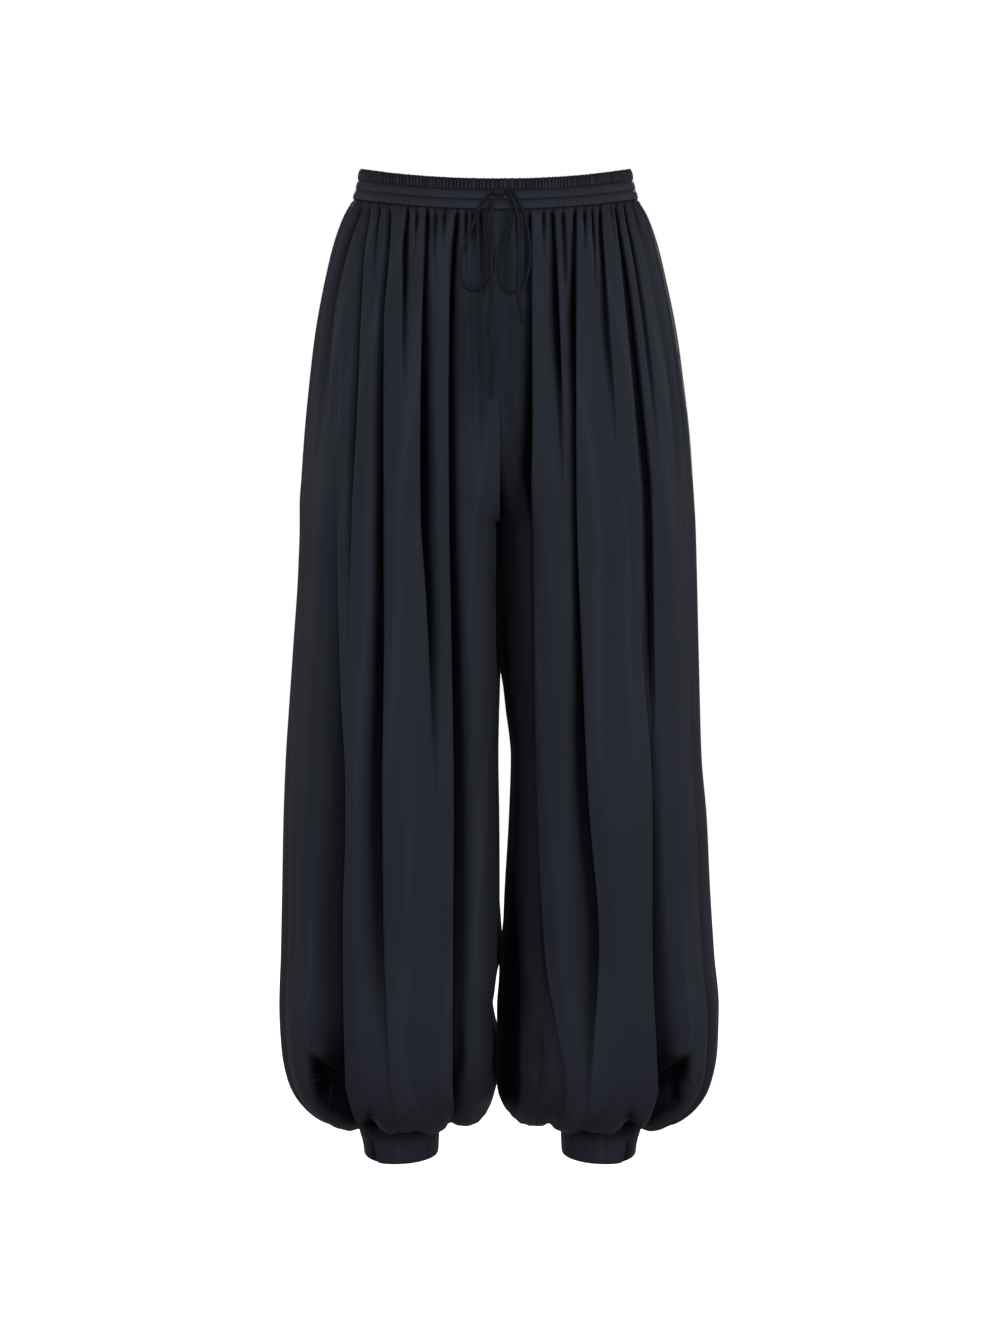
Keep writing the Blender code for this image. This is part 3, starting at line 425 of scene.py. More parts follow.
def press(folds, depths, widths, marks, at, drop):
    """How far the cloth is pressed in, and how far under a crisp edge, at places along the outline."""
    total, under = np.zeros_like(at), np.zeros_like(at)
    taper = min(1.0, (3.5 + 0.11 * (drop - 16)) / 12)
    if drop >= LOWEST_FOLD:
        taper = max(0.35, 1 - (drop - LOWEST_FOLD) / 200)
    for row, deep, wide, centre in zip(folds, depths, widths, marks):
        if deep <= 0.05:
            continue
        before = at < centre
        if row[EDGE] == "soft":
            run_out = run_in = wide
        elif row[EDGE] == "both":
            run_out = run_in = min(wide, NARROW_RUN)
        else:
            run_out, run_in = (CRISP, wide) if row[EDGE] == "out" else (wide, CRISP)
        reach = np.minimum(1, np.abs(at - centre) / np.where(before, run_out, run_in))
        steep = before if row[EDGE] == "out" else ~before
        if row[EDGE] == "soft":
            sharp = (1 + np.cos(np.pi * reach)) / 2
        else:
            sharp = np.where(steep, np.maximum(0, 1 - reach ** 1.25) ** 1.25,
                             np.maximum(0, 1 - reach ** 1.3) ** 1.6)
        share = BROAD_SHARE * min(1.0, max(0.0, (deep - 5) / 4))
        broad = (1 + np.cos(np.pi * np.minimum(1, np.abs(at - centre) / (BROAD_WIDTH * taper)))) / 2
        total += (deep * ((1 - share) * sharp + share * broad)) ** 3
        if row[EDGE] in ("out", "in"):
            under += UNDERCUT * deep * sharp * (-1 if row[EDGE] == "out" else 1)
    return total ** (1 / 3), under


def press_dents(push, under, stops, drops, levels, outlines, face):
    """Adds the local dents to the folds."""
    drop = drops[:, None]
    for _, out, start, end, rise, fade, half_run, deep, edge in DENTS:
        if face == "back":
            out, deep = out - BACK_DENT_SHIFT, deep * BACK_DENT_SHARE
        middle = int(np.argmin(np.abs(drops - (start + end) / 2)))
        grown = levels[:, RIGHT] / levels[middle, RIGHT]
        centre = np.array([np.interp(-out * size, -u, run) for size, (run, u, _, _) in zip(grown, outlines)])
        reach = (stops - centre[:, None]) / half_run
        steep = (reach < 0) == (edge == "out")
        across = np.where(steep, np.clip(1 - np.abs(reach) * half_run / (2 * CRISP), 0, 1),
                          (1 + np.cos(np.pi * np.clip(reach, -1, 1) ** 2)) / 2)
        fall = across * ease((drop - start) / rise) * ease((end - drop) / fade)
        push = (push ** 3 + (deep * fall) ** 3) ** (1 / 3)
        under = under * (1 - 0.8 * fall)
    return push, under


def bend(u, y, z):
    """Shared sideways bend near the line between the legs."""
    size = value_at(BEND, -z) * np.exp(-(u / BEND_REACH) ** 2)
    return size * np.sin(np.pi * np.clip(y / BEND_DEPTH, -1, 1))


def unrest(seed, run, drop, lines, size_run, size_drop):
    """Low, uneven waviness made of a few crossing sine waves."""
    rng = np.random.RandomState(seed)
    out = np.zeros(np.broadcast(run, drop).shape)
    for _ in range(lines):
        a, b = rng.uniform(*size_run), rng.uniform(*size_drop) * rng.choice((-1, 1))
        out += np.sin(2 * np.pi * (run / a + drop / b) + rng.uniform(0, 6.28)) * rng.uniform(0.5, 1)
    return out / math.sqrt(lines)


def ease(x):
    x = np.clip(x, 0, 1)
    return x * x * (3 - 2 * x)


def row_drops():
    """Close rows under the waist seam and round the puff's underside."""
    step = 1.0
    return np.concatenate([np.arange(16, 70, 2.2 * step), np.arange(70, 860, 6.6 * step),
                           np.arange(860, 1000, 3.2 * step), np.linspace(1000, CUFF_DROP, int(16 / step))])


def stand_for(obj, solid):
    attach(obj, "root")
    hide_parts(solid)


def piece_from(name, points, faces, mat, uv=None, shade=None):
    """A smooth piece of given points, with its flat cut as UV and its painted shade as an attribute."""
    mesh = bpy.data.meshes.new(name)
    mesh.from_pydata([tuple(p) for p in points], [], faces)
    if uv is not None:
        layer = mesh.uv_layers.new(name="cut")
        index = np.empty(len(mesh.loops), int)
        mesh.loops.foreach_get("vertex_index", index)
        layer.data.foreach_set("uv", uv[index].astype(np.float32).ravel())
    if shade is not None:
        mask = mesh.attributes.new("fold", "FLOAT", "POINT")
        mask.data.foreach_set("value", shade.ravel().astype(np.float32))
    mesh.materials.append(mat)
    mesh.shade_smooth()
    obj = in_scene(name, mesh)
    return obj


def fold_shade(push, drop, rim):
    """Share of painted shade on cloth that a fold presses in."""
    early = np.clip((drop - 16) / 110, 0, 1)
    return np.clip((push - 1.2 - 1.8 * early) / (3.6 + 4.0 * early), 0, 1) * rim * value_at(DEPTH_SHADE, drop)


def middle_shade(side, outs, drop, inside):
    """Painted shade near the middle of the front: at the centre, a painted shadow behind the bow, between the
    legs.
    """
    shade = 0.42 * value_at(CENTRE_SHADE[side], drop) * ease((1.02 - inside) / 0.15)
    from_seam = -outs if side == "right" else outs
    wave = 0.5 + 0.5 * np.cos(2 * np.pi * (from_seam - BOW_PHASE) / BOW_PITCH)
    window = ease((from_seam + BOW_REACH[0]) / 6) * ease((BOW_REACH[1] - from_seam) / 6)
    shade = np.maximum(shade, (0.22 + 0.42 * wave) * value_at(BOW_SHADE, drop) * window)
    if side == "left":
        shade = np.maximum(shade, 0.68 * value_at(INNER_SHADE_AND_SETBACK, drop) * ease((0.97 - inside) / 0.06))
        shade = np.maximum(shade, ease((value_at(INNER_SHADOW_REACH, drop) + 3 - outs) / 4))
    return shade


def cloth_ways(base):
    """Unit ways into the leg and along its outline at every point of a panel."""
    down, across = np.gradient(base, axis=0), np.gradient(base, axis=1)
    sideways = across * (1, 1, 0)
    sideways /= np.linalg.norm(sideways, axis=2, keepdims=True) + 1e-12
    inward = np.cross(across, down)
    inward /= np.linalg.norm(inward, axis=2, keepdims=True) + 1e-12
    rows, cols = base.shape[:2]
    middle = base[rows // 2, cols // 2]
    if np.dot(inward[rows // 2, cols // 2], np.array([110, 0, base[rows // 2, 0, 2]]) - middle) < 0:
        inward = -inward
    inward[0] = inward[0] * (1, 1, 0)
    inward[-2:] = (0, 0, 1)
    return inward, sideways


def sheet_faces(rows, cols, flip):
    """Faces of a grid of points, row after row."""
    faces = []
    for r in range(rows - 1):
        for c in range(cols - 1):
            a, b = r * cols + c, r * cols + c + 1
            faces.append((a, b, b + cols, a + cols) if flip else (a, a + cols, b + cols, b))
    return faces


def leg_panel(name, side, face, folds, mat, seed):
    """One panel of a leg as a thin shell of cloth, with its folds as troughs and ridges."""
    front = face == "front"
    drops = row_drops()
    drop = drops[:, None]
    levels = levels_at(drops)
    places = [fold_places(row, levels, side) for row in folds]
    depths, widths = fold_sizes(folds, drops)
    outlines, marks = fold_lines(folds, places, levels, side, face)
    stops = point_columns(marks)
    base = np.empty((*stops.shape, 3))
    push, under = np.empty(stops.shape), np.empty(stops.shape)
    for r, (run, *line) in enumerate(outlines):
        for axis in range(3):
            base[r, :, axis] = np.interp(stops[r], run, line[axis])
        push[r], under[r] = press(folds, depths[:, r], widths[:, r], marks[r, 1:], stops[r], drops[r])
    push, under = press_dents(push, under, stops, drops, levels, outlines, face)
    outs = np.abs(base[..., 0])

    rim = ease(stops / 9) * ease((marks[:, -1:] - stops) / 7)
    loose = ease((drop - 16) / 30) * ease((CUFF_DROP - drop) / 60)
    waves = 0.4 * unrest(seed, stops, drop, 9, (22, 60), (300, 900))
    waves += 0.10 * unrest(seed + 1, stops, drop, 9, (9, 20), (120, 400))
    tucks = 2.6 * np.clip(np.abs(unrest(seed + 2, stops, drop, 5, (4.6, 9), (300, 700))) - 0.3, 0, 1)
    puckers = np.abs(unrest(seed + 3, stops, drop, 5, (4.5, 9), (90, 200)))
    push = push + tucks * np.exp(-(drop - 16) / 16) + puckers * np.exp(-(CUFF_DROP - drop) / 26)

    # painted shade from the folds' depth, stored with the cloth and darkening its colour
    shade = fold_shade(push, drop, rim)
    push = (push + (waves + 0.5) * loose) * rim
    if front:
        inside = outs / places[[row[NAME] for row in folds].index("main")][:, None]
        shade = np.maximum(shade, middle_shade(side, outs, drop, inside))
        if side == "left":
            behind = ease((1 - inside) / 0.2) * ease((outs - levels[:, IN_L, None] - 5) / 8)
            # the table of shade between the legs also pushes that inner cloth back
            push += 5 * value_at(INNER_SHADE_AND_SETBACK, drop) * behind
    # painted shade in the hem's raised notch
    notch = np.exp(-((outs - HEM_NOTCH) / 6) ** 2) * ease((drop - 930) / 20)
    shade = np.maximum(shade, 0.9 * notch)

    # the top row is tucked under the waistband
    push[0] = 2.6
    base[0, :, 2] += 2.0
    inward, sideways = cloth_ways(base)
    cloth = base + inward * push[..., None] + sideways * (under * rim)[..., None]
    sag = ease((drop - 905) / 45) * ease((1014 - drop) / 22)
    hem = value_at(HEM, outs * (1.0 if front else BACK_HEM_STRETCH))
    cloth[..., 2] += hem * sag * (1.0 if front else BACK_HEM_SHARE)
    u, y, z = np.moveaxis(cloth, 2, 0)
    x = LEG_LINE + (-u if side == "right" else u) + bend(u, y, z)
    points = np.stack([x, y, z], -1).reshape(-1, 3) * MM
    faces = sheet_faces(*stops.shape, flip=(side == "right") == (face == "back"))
    uv = np.stack([stops, np.broadcast_to(drop, stops.shape)], -1).reshape(-1, 2) * MM
    obj = piece_from(name, points, faces, mat, uv, shade)
    shell = obj.modifiers.new("thickness", "SOLIDIFY")
    shell.thickness = CLOTH_THICK * MM
    shell.offset = -1.0
    return obj


def second_back():
    """The wearer's left back: the same folds, shifted and deeper or shallower."""
    moved = []
    for row in BACK_FOLDS:
        step, gain = BACK_SHIFT.get(row[NAME], 0), BACK_GAIN.get(row[NAME], 1)
        moved.append((row[NAME], row[EDGE], tuple(u + step for u in row[OUT]),
                      tuple(d * gain for d in row[DEEP]), row[SOFT]))
    return moved


def front_y(x, z):
    """Front face of the cloth without its folds, mm. The waistband stands out past the legs' cloth."""
    step_out = 1.2
    levels = np.array(LEVELS[:9], float)
    rows = [section(level, "left" if x > LEG_LINE else "right", "front", 160) for level in levels]
    depths = [float(np.interp(-abs(x - LEG_LINE), -row[0], row[1])) for row in rows]
    if z > -15:
        return depths[0] - value_at(BAND_FLARE, z + 5) - step_out
    return float(np.interp(-z, -levels[:, HEIGHT], depths)) - (step_out if z > -22 else 0.0)


# Materials
def add_node(tree, kind, values=None, **modes):
    """New shader node. Its modes are set before the values of its inputs."""
    made = tree.nodes.new("ShaderNode" + kind)
    for key, mode in modes.items():
        setattr(made, key, mode)
    for key, value in (values or {}).items():
        made.inputs[key].default_value = value
    return made


def wire(source, output, target, slot):
    source.id_data.links.new(source.outputs[output], target.inputs[slot])


def thread_group():
    """Satin's long warp threads: masks of threads, slow unevenness, long streaks that carry a painted sheen
    highlight, and the painted shade stored in deep folds.
    """
    tree = bpy.data.node_groups.new("satin threads", "ShaderNodeTree")
    face = tree.interface
    for label, value in (("Threads per metre", 2600.0), ("Stretch", 0.06), ("Unevenness", 5.0)):
        face.new_socket(name=label, in_out="INPUT", socket_type="NodeSocketFloat").default_value = value
    for label in ("Threads", "Slow", "Height", "Painted shade", "Painted sheen"):
        face.new_socket(name=label, in_out="OUTPUT", socket_type="NodeSocketFloat")
    into, out = tree.nodes.new("NodeGroupInput"), tree.nodes.new("NodeGroupOutput")
    place = add_node(tree, "TexCoord")
    stretch = add_node(tree, "CombineXYZ", {"X": 1.0, "Z": 1.0})
    scaled = add_node(tree, "VectorMath", operation="MULTIPLY")
    threads = add_node(tree, "TexNoise", {"Detail": 2.0})
    slow = add_node(tree, "TexNoise", {"Detail": 3.0})
    long_way = add_node(tree, "VectorMath", {1: (70, 3, 1)}, operation="MULTIPLY")
    # long streaks, the mask of the painted sheen highlight
    sheen_streak_noise = add_node(tree, "TexNoise", {"Scale": 1.0, "Detail": 1.5})
    # the painted shade that each cloth piece stores, deepest in its folds, grooves and seams
    fold = add_node(tree, "Attribute", attribute_name="fold")
    wire(into, "Stretch", stretch, "Y")
    wire(place, "UV", scaled, 0)
    wire(stretch, "Vector", scaled, 1)
    wire(scaled, "Vector", threads, "Vector")
    wire(into, "Threads per metre", threads, "Scale")
    wire(place, "Object", slow, "Vector")
    wire(into, "Unevenness", slow, "Scale")
    wire(place, "UV", long_way, 0)
    wire(long_way, "Vector", sheen_streak_noise, "Vector")
    for source, label in ((threads, "Threads"), (slow, "Slow"), (threads, "Height"), (sheen_streak_noise, "Painted sheen"),
                          (fold, "Painted shade")):
        wire(source, "Fac", out, label)
    return tree


THREADS = thread_group()


def satin(name, dark, light, rough, sheen=0.02, threads=2600.0, bump=0.12, painted_sheen=0.0):
    """Satin between two tones, with a painted sheen highlight along its streaks and painted shade, darkest in
    deep folds.
    """
    mat = bpy.data.materials.new(name)
    mat.use_nodes = True
    tree = mat.node_tree
    shader = tree.nodes["Principled BSDF"]
    group = add_node(tree, "Group", {"Threads per metre": threads}, node_tree=THREADS)
    half = add_node(tree, "Math", {1: 0.5}, operation="MULTIPLY")
    blend = add_node(tree, "Math", {1: 0.5}, operation="MULTIPLY_ADD")
    tone = add_node(tree, "Mix", {"A": (*dark, 1), "B": (*light, 1)}, data_type="RGBA")
    # painted highlight: the tone is made lighter along the streaks, standing for satin's sheen
    painted_sheen_mask = add_node(tree, "MapRange", {"From Min": 0.5, "From Max": 0.78, "To Max": painted_sheen})
    painted_highlight = add_node(tree, "Mix", {"B": (*[1.75 * v for v in light], 1)}, data_type="RGBA")
    # painted shade: the colour goes nearly black where the stored shade mask is high
    shade = add_node(tree, "Mix", {"B": (*[0.05 * v for v in dark], 1)}, data_type="RGBA")
    spread = add_node(tree, "MapRange", {"To Min": rough - 0.05, "To Max": rough + 0.05})
    relief = add_node(tree, "Bump", {"Strength": bump, "Distance": 0.0002})
    wire(group, "Slow", half, 0)
    wire(group, "Threads", blend, 0)
    wire(half, "Value", blend, 2)
    wire(blend, "Value", tone, "Factor")
    wire(group, "Painted sheen", painted_sheen_mask, "Value")
    wire(tone, "Result", painted_highlight, "A")
    wire(painted_sheen_mask, "Result", painted_highlight, "Factor")
    wire(painted_highlight, "Result", shade, "A")
    wire(group, "Painted shade", shade, "Factor")
    wire(shade, "Result", shader, "Base Color")
    wire(group, "Slow", spread, "Value")
    wire(spread, "Result", shader, "Roughness")
    wire(group, "Height", relief, "Height")
    wire(relief, "Normal", shader, "Normal")
    for label, value in (("Specular IOR Level", 0.08), ("Specular Tint", (0.62, 0.72, 1.0, 1)),
                         ("Sheen Weight", sheen), ("Sheen Roughness", 0.35),
                         ("Sheen Tint", (0.72, 0.78, 1.0, 1))):
        shader.inputs[label].default_value = value
    return mat


CLOTH = satin("dark satin", (0.0156, 0.0164, 0.0230), (0.0206, 0.0219, 0.0305), 0.52, painted_sheen=0.36)
# a lighter copy of the cloth's satin: the extra light that the band catches is painted into its tone
LIGHTER_BAND_SATIN = satin("waistband satin painted lighter", (0.0185, 0.0192, 0.0262), (0.0240, 0.0252, 0.0345), 0.5)
# a darker copy of the cloth's satin: shade on the cord and knot is painted into its tone
SHADED_CORD_SATIN = satin("satin cord", (0.0080, 0.0086, 0.0125), (0.0120, 0.0130, 0.0185), 0.5, threads=2200.0)
# a darker copy of the satin: the shade round the button at the lap's end is painted into its tone
SHADED_BUTTON_SATIN = satin("covered button satin", (0.006, 0.0065, 0.0095), (0.010, 0.011, 0.015), 0.45)
THREAD = satin("sewing thread", (0.008, 0.009, 0.012), (0.014, 0.015, 0.020), 0.5, sheen=0.1, threads=4000.0)


def rounded_piece(name, grid, mat, replaced):
    """A smooth trim piece from an editable mesh, in place of one solid."""
    mesh = bpy.data.meshes.new(name)
    grid.to_mesh(mesh)
    grid.free()
    mesh.materials.append(mat)
    mesh.shade_smooth()
    obj = in_scene(name, mesh)
    stand_for(obj, replaced)
    return obj


# Drawcord
def cord_line(table):
    """The cord's middle line over the cloth, evenly spaced, with the table's corners rounded."""
    pts = np.array([(x, front_y(x, z) - off, z) for x, z, off in table])
    run = np.concatenate([[0], np.cumsum(np.linalg.norm(np.diff(pts, axis=0), axis=1))])
    count = int(run[-1] / CORD_STEP)
    fine = np.linspace(0, run[-1], count * 8)
    kernel = np.hanning(2 * CORD_EASE + 1)
    kernel /= kernel.sum()
    smooth = []
    for values in pts.T:
        values = np.interp(fine, run, values)
        padded = np.concatenate([2 * values[0] - values[CORD_EASE:0:-1], values,
                                 2 * values[-1] - values[-2:-CORD_EASE - 2:-1]])
        smooth.append(np.convolve(padded, kernel, "valid"))
    return np.stack(smooth, 1)[np.linspace(0, len(fine) - 1, count).round().astype(int)]


def drawcord(name, table):
    line = cord_line(table)
    curve = bpy.data.curves.new(name, "CURVE")
    curve.dimensions = "3D"
    curve.bevel_depth = CORD_D / 2 * MM
    curve.bevel_resolution = 4
    curve.use_fill_caps = True
    spline = curve.splines.new("POLY")
    spline.points.add(len(line) - 1)
    for point, co in zip(spline.points, line):
        point.co = (*[v * MM for v in co], 1.0)
    spline.use_smooth = True
    curve.materials.append(SHADED_CORD_SATIN)
    obj = in_scene(name, curve)
    stand_for(obj, "draw" + name)


def knot():
    """The bow's knot: a squat body with the cord's turns wound over it."""
    grid = bmesh.new()
    bmesh.ops.create_uvsphere(grid, u_segments=64, v_segments=40, radius=1)
    across, height = KNOT_AT
    deep = front_y(across, height) - KNOT_OFF
    for v in grid.verts:
        x, y, z = v.co
        turn = math.atan2(z, y)
        groove = 0.86 + 0.16 * abs(math.sin((x * 2.6 + turn * 0.5) * math.pi / 1.05))
        v.co = Vector(((across + KNOT_HALF[0] * x) * MM, (deep + KNOT_HALF[1] * y * groove) * MM,
                       (height + (KNOT_HALF[2] - KNOT_TAPER * x) * z * groove) * MM))
    return rounded_piece("bow_knot", grid, SHADED_CORD_SATIN, "drawcord_knot")


bow = knot()
drawcord("cord_long", CORD_LONG)
drawcord("cord_short", CORD_SHORT)


# Leg panels
for panel_name, side, face, folds, seed in (
        ("right_front", "right", "front", RIGHT_FRONT, 3), ("left_front", "left", "front", LEFT_FRONT, 11),
        ("right_back", "right", "back", BACK_FOLDS, 23), ("left_back", "left", "back", second_back(), 31)):
    panel = leg_panel("cloth_" + panel_name, side, face, folds, CLOTH, seed)
    stand_for(panel, "leg_" + panel_name)


# Waistband
def waist_ring(count):
    """Even points round the waist seam: place, way out, lift of the rim and run, then the whole run."""
    ring = []
    for side, face, flip in (("left", "front", True), ("left", "back", False),
                             ("right", "back", True), ("right", "front", False)):
        u, y, z = section(LEVELS[0], side, face)
        x = LEG_LINE + (u if side == "left" else -u)
        line = list(zip(x, y, z - LEVELS[0][HEIGHT]))
        ring += line[::-1] if flip else line
        ring.pop()
    closed = np.array(ring + ring[:1])
    run = np.concatenate([[0], np.cumsum(np.hypot(*np.diff(closed[:, :2], axis=0).T))])
    at = np.linspace(0, run[-1], count, endpoint=False)
    x, y, lift = (np.interp(at, run, line) for line in closed.T)
    ahead = np.stack([np.roll(x, -4) - np.roll(x, 4), np.roll(y, -4) - np.roll(y, 4)], 1)
    ahead /= np.linalg.norm(ahead, axis=1, keepdims=True)
    out = np.stack([ahead[:, 1], -ahead[:, 0]], 1)
    if np.mean(out[:, 0] * x + out[:, 1] * y) < 0:
        out = -out
    return x, y, out, lift, at, run[-1]


def gather_wave(at, total, pitch, seed):
    """Rounded gathers of uneven width with narrow grooves between them, from 0 in a groove to 1."""
    rng = np.random.RandomState(seed)
    edges = [0.0]
    while edges[-1] < total - pitch * 0.6:
        edges.append(edges[-1] + pitch * rng.uniform(0.62, 1.4))
    edges = np.array(edges) * total / edges[-1]
    k = np.clip(np.searchsorted(edges, at, side="right") - 1, 0, len(edges) - 2)
    t = (at - edges[k]) / (edges[k + 1] - edges[k])
    height = rng.uniform(0.55, 1.0, len(edges))[k]
    return np.sin(np.pi * t) ** 0.6 * height


def waistband():
    """The band: two plain channels under one ribbed by its elastic, and a plain inside, with painted shade in
    its grooves and along its sewn lines.
    """
    count = 1500
    x, y, out, lift, at, total = waist_ring(count)
    elastic = gather_wave(at, total, 3.5, 5)
    middle = gather_wave(at, total, 4.6, 6)
    lower = gather_wave(at, total, 5.2, 7)
    slow = unrest(8, at, np.zeros_like(at), 6, (30, 90), (500, 900))
    patches = np.clip(unrest(9, at, np.zeros_like(at), 5, (60, 160), (500, 900)), 0, 1)
    # painted shade in the grooves between the elastic's ribs, and in the lower channels' gathers where random
    # patches allow
    grooves = np.clip((0.75 - elastic) / 0.5, 0, 1)
    wrinkle_shade = 0.6 * np.clip((0.4 - lower) / 0.4, 0, 1) * patches
    rings, shades = [], []

    def add_ring(way, height, rise, shade):
        way = way + value_at(BAND_FLARE, height)
        rings.append(np.stack([x + out[:, 0] * way, y + out[:, 1] * way, height + lift + rise], 1))
        shades.append(shade)

    for low, high, rows, rib, gathers in (
            (BAND_LOW, BAND_SEAMS[0], 12, 0.22 * lower, wrinkle_shade), (*BAND_SEAMS, 12, 0.28 * middle, wrinkle_shade),
            (BAND_SEAMS[1], BAND_HIGH, 14, 1.6 * elastic - 0.5, grooves)):
        for height in np.linspace(low, high, rows)[0 if low == BAND_LOW else 1:]:
            arch = math.sin(math.pi * (height - low) / (high - low))
            step = -0.35 + 1.15 * max(0.0, arch) ** 0.55 + rib * (0.55 + 0.45 * arch) + 0.12 * slow
            edge = 0.8 * (elastic - 0.6) * max(0, (height - 11) / 4)
            # painted shade along the sewn lines and under the band's lower edge
            line = 0.75 * max(math.exp(-((height - seam) / 0.8) ** 2) for seam in (*BAND_SEAMS, BAND_LOW))
            add_ring(step, height, edge, np.maximum(line, gathers))
    # the plain inside, with some of the painted groove shade
    for height in (BAND_HIGH - 0.3, 8.0, 0.0, -8.0, BAND_LOW):
        add_ring(-BAND_WALL + 0.3 * (elastic - 0.5), height, 0.0, 0.6 * grooves)

    faces = []
    for r in range(len(rings)):
        s = (r + 1) % len(rings)
        for i in range(count):
            j = (i + 1) % count
            faces.append((r * count + i, r * count + j, s * count + j, s * count + i))
    uv = np.concatenate([np.stack([at, np.full_like(at, ring[0, 2])], 1) for ring in rings]) * MM
    points = np.concatenate(rings) * MM
    obj = piece_from("band", points, faces, LIGHTER_BAND_SATIN, uv, np.concatenate(shades))
    stand_for(obj, "waistband")


def stitches():
    """Sewing along the two channel lines: short stitches with rounded ends."""
    count, sides = 4000, 5
    x, y, out, lift, _, total = waist_ring(count)
    stitch_count = int(total / STITCH_PITCH)
    reach = int(0.33 * STITCH_PITCH / total * count)
    points, faces = [], []
    for height in BAND_SEAMS:
        off = STITCH_OFF + value_at(BAND_FLARE, height)
        for i in range(stitch_count):
            mid = int((i + 0.5) / stitch_count * count) % count
            start = len(points)
            for at, sink in (((mid - reach) % count, -0.3), (mid, 0.12), ((mid + reach) % count, -0.3)):
                for k in range(sides):
                    turn = 2 * math.pi * k / sides
                    way = off + sink + STITCH_R * math.cos(turn)
                    points.append((x[at] + out[at, 0] * way, y[at] + out[at, 1] * way,
                                   height + lift[at] + STITCH_R * math.sin(turn)))
            for ring in (start, start + sides):
                for k in range(sides):
                    a, b = ring + k, ring + (k + 1) % sides
                    faces.append((a, b, b + sides, a + sides))
    obj = piece_from("band_stitches", np.array(points) * MM, faces, THREAD)
    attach(obj, "root")


waistband()
stitches()


# Cuffs and their buttons
def cuff_point(side, angle, out, z):
    """A point round a cuff, a given way out from its line."""
    turn = math.radians(angle)
    slope = (z - CUFF_TOP) / (CUFF_END - CUFF_TOP)
    a, b = (half - taper * slope for half, taper in zip(CUFF_HALF, CUFF_TAPER))
    c, s = math.cos(turn), math.sin(turn)
    norm = math.hypot(c / a, s / b)
    u = CUFF_CENTRE + a * c + out * (c / a) / norm
    y = b * s + out * (s / b) / norm
    return Vector(((LEG_LINE + (-u if side == "right" else u)) * MM, y * MM, z * MM))


def cuff(side):
    """One band round the ankle, with its end lapped over its start."""
    count, k = 320, len(CUFF_OUTLINE)
    points, faces, uv, shades = [], [], [], []
    for i in range(count + 1):
        angle = CUFF_START + CUFF_TURN * i / count
        over = max(0.0, (angle - (CUFF_START + LAP_START)) / LAP_RUN)
        lift = CUFF_STEP * min(1.0, over) ** 1.5
        low = CUFF_END + 0.6 * math.sin(math.radians(angle * 2 + 40))
        high = CUFF_TOP - 0.2
        for share, step in CUFF_OUTLINE:
            z = low + (high - low) * share
            # the lap's end is slanted
            at = angle - (3 + 11 * (1 - share)) * max(0.0, i / count - 0.94) / 0.06
            crease = 0.0
            if step > -0.5:
                crease = math.sin(math.pi * share) * (
                    0.5 * math.sin(math.radians(angle * 7 + share * 60))
                    + 0.25 * math.sin(math.radians(angle * 23 + share * 160)))
            flare = CUFF_FLARE * max(0.0, math.cos(math.radians(at))) ** 2 * float(ease((share - 0.1) / 0.9))
            points.append(cuff_point(side, at, lift + step + crease + flare, z))
            # painted shade: a shadow under the lap, under the puff's overhang at the top, along the lower
            # edge and on the lap's end
            lap_shadow = 0.85 * value_at(LAP_SHADE, angle) * value_at(LAP_SHADE_UP, share)
            shades.append(max(lap_shadow, 0.75 * value_at(PUFF_SHADE, share),
                              0.6 * value_at(EDGE_SHADE, share), 0.9 * (i == count)))
            uv.append((angle * 0.77 * MM, z * MM))
    for i in range(count):
        for j in range(k):
            a, b = i * k + j, i * k + (j + 1) % k
            faces.append((a, b, b + k, a + k) if side == "left" else (a, a + k, b + k, b))
    faces += [tuple(range(k)), tuple(count * k + j for j in range(k))]
    obj = piece_from("cuff_band_" + side, points, faces, CLOTH, np.array(uv), np.array(shades))
    stand_for(obj, "cuff_" + side)


def button(side):
    """A small covered button near the lap's end, with faint gathers round its edge."""
    angle = CUFF_START + CUFF_TURN - 360 - BUTTON_BACK
    at = cuff_point(side, angle, CUFF_STEP, BUTTON_HEIGHT)
    out = (cuff_point(side, angle, CUFF_STEP + 10, BUTTON_HEIGHT) - at).normalized()
    grid = bmesh.new()
    bmesh.ops.create_uvsphere(grid, u_segments=40, v_segments=24, radius=BUTTON_R * MM)
    turn = Vector((0, 0, 1)).rotation_difference(out)
    for v in grid.verts:
        ring = math.hypot(v.co.x, v.co.y) / (BUTTON_R * MM)
        around = math.atan2(v.co.y, v.co.x)
        v.co.z *= 0.55 * (1 - 0.05 * ring * (0.5 + 0.5 * math.sin(around * 9)))
        v.co = turn @ v.co + at + out * BUTTON_OFF * MM
    rounded_piece("covered_button_" + side, grid, SHADED_BUTTON_SATIN, "button_" + side)


for leg_side in ("right", "left"):
    cuff(leg_side)
    button(leg_side)


# Floor and light
FLOOR_HEIGHT = -1.07         # m
FLOOR_REACH = 2.6            # m
FLOOR_PALE, FLOOR_GREY = (0.92, 0.92, 0.93, 1), (0.2, 0.2, 0.2, 1)
SURROUND = 0.16              # how bright the surroundings light the cloth, beside white where seen
# Softboxes: name, place, size (m), power (W). All look at AIM.
AIM = (0, 0, -0.5)
SOFTBOXES = [
    ("front softbox", (0.0, -3.8, 0.5), (2.2, 2.2), 80),
    ("left softbox", (-3.0, -2.1, 0.3), (1.6, 2.2), 26),
    ("right softbox", (3.0, -2.1, 0.3), (1.6, 2.2), 44),
    ("left flank softbox", (-3.5, 0.9, 0.3), (1.6, 2.2), 26),
    ("right flank softbox", (3.5, 0.9, 0.3), (1.6, 2.2), 26),
    ("back softbox", (0.0, 3.9, 0.5), (2.2, 2.2), 190),
]


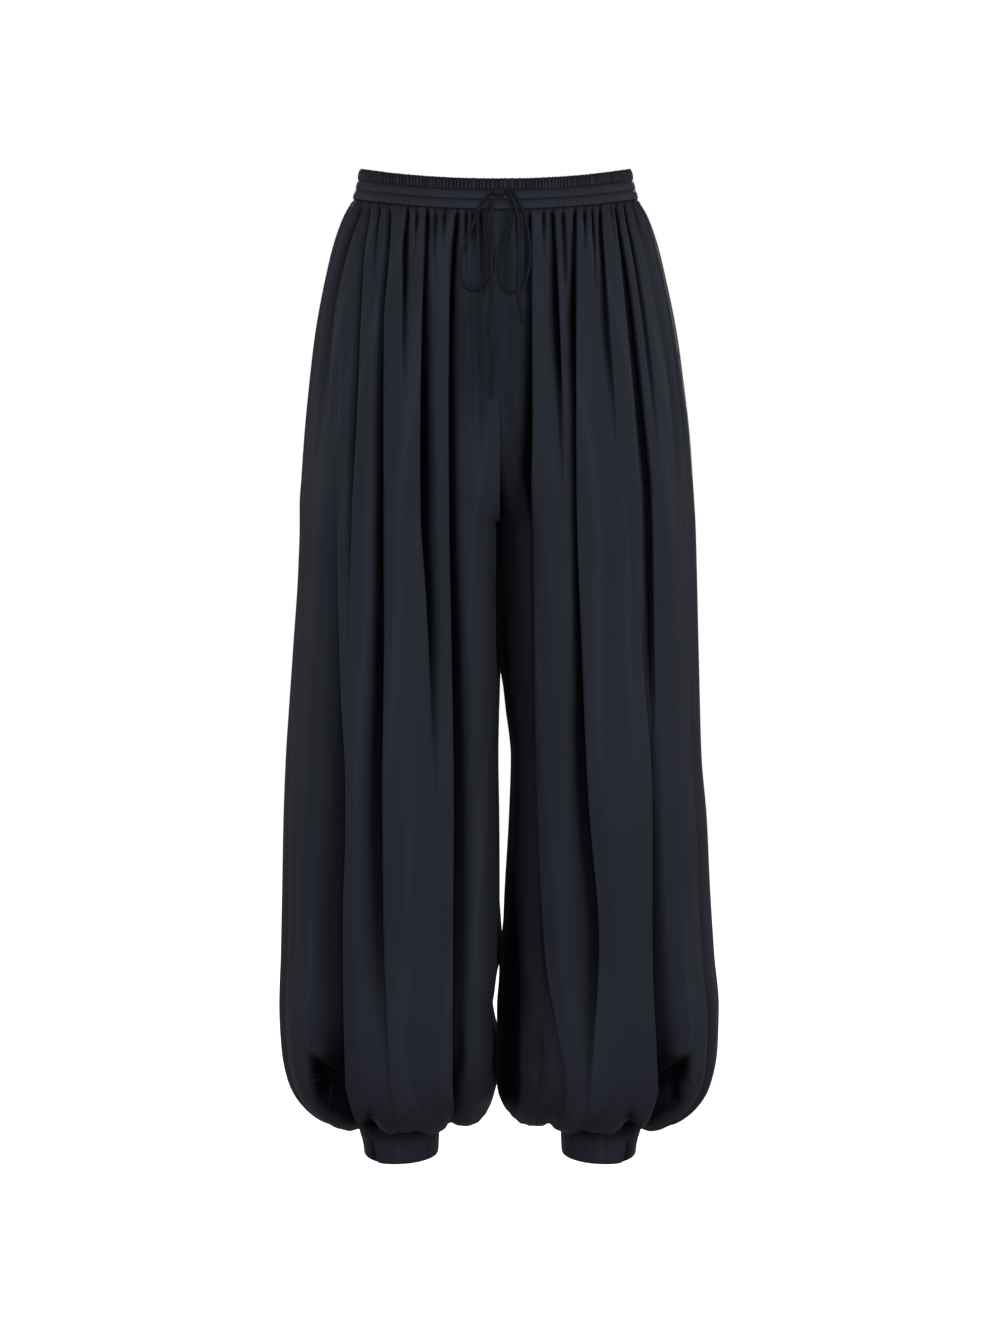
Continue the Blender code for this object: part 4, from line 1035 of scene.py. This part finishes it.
def floor_disc():
    """A round floor, pale where seen and grey to the light, fading into the white surroundings."""
    disc = bmesh.new()
    bmesh.ops.create_circle(disc, cap_ends=True, segments=96, radius=FLOOR_REACH)
    mesh = bpy.data.meshes.new("floor")
    disc.to_mesh(mesh)
    disc.free()
    mat = bpy.data.materials.new("pale floor")
    mat.use_nodes = True
    tree = mat.node_tree
    shader = tree.nodes["Principled BSDF"]
    shader.inputs["Roughness"].default_value = 0.9
    shader.inputs["Emission Color"].default_value = (0.55, 0.55, 0.55, 1)
    seen = add_node(tree, "Mix", {"A": FLOOR_GREY, "B": FLOOR_PALE}, data_type="RGBA")
    place = add_node(tree, "TexCoord")
    middle = add_node(tree, "VectorMath", operation="LENGTH")
    fade = add_node(tree, "MapRange", interpolation_type="SMOOTHSTEP", values={
        "From Min": 0.35, "From Max": FLOOR_REACH * 0.9, "To Min": 1.0, "To Max": 0.0})
    ray = add_node(tree, "LightPath")
    wire(seen, "Result", shader, "Base Color")
    wire(place, "Object", middle, 0)
    wire(middle, "Value", fade, "Value")
    wire(fade, "Result", shader, "Alpha")
    wire(ray, "Is Camera Ray", shader, "Emission Strength")
    wire(ray, "Is Camera Ray", seen, "Factor")
    mesh.materials.append(mat)
    obj = in_scene("floor", mesh)
    obj.location = (0, 0, FLOOR_HEIGHT)


def surroundings():
    """Pure white where the camera sees them, much dimmer as light on the cloth."""
    world = bpy.data.worlds.new("soft white")
    bpy.context.scene.world = world
    world.use_nodes = True
    tree = world.node_tree
    sky = tree.nodes["Background"]
    sky.inputs["Color"].default_value = (1, 1, 1, 1)
    ray = add_node(tree, "LightPath")
    strength = add_node(tree, "Math", {1: 1.0 - SURROUND, 2: SURROUND}, operation="MULTIPLY_ADD")
    wire(ray, "Is Camera Ray", strength, 0)
    wire(strength, "Value", sky, "Strength")


def softbox(name, place, size, power):
    lamp = bpy.data.lights.new(name, "AREA")
    lamp.shape = "RECTANGLE"
    lamp.size, lamp.size_y = size
    lamp.energy = power
    obj = in_scene(name, lamp)
    obj.location = place
    obj.rotation_euler = (Vector(AIM) - Vector(place)).to_track_quat("-Z", "Y").to_euler()


floor_disc()
surroundings()
for box in SOFTBOXES:
    softbox(*box)
bpy.context.scene.view_settings.view_transform = "Standard"
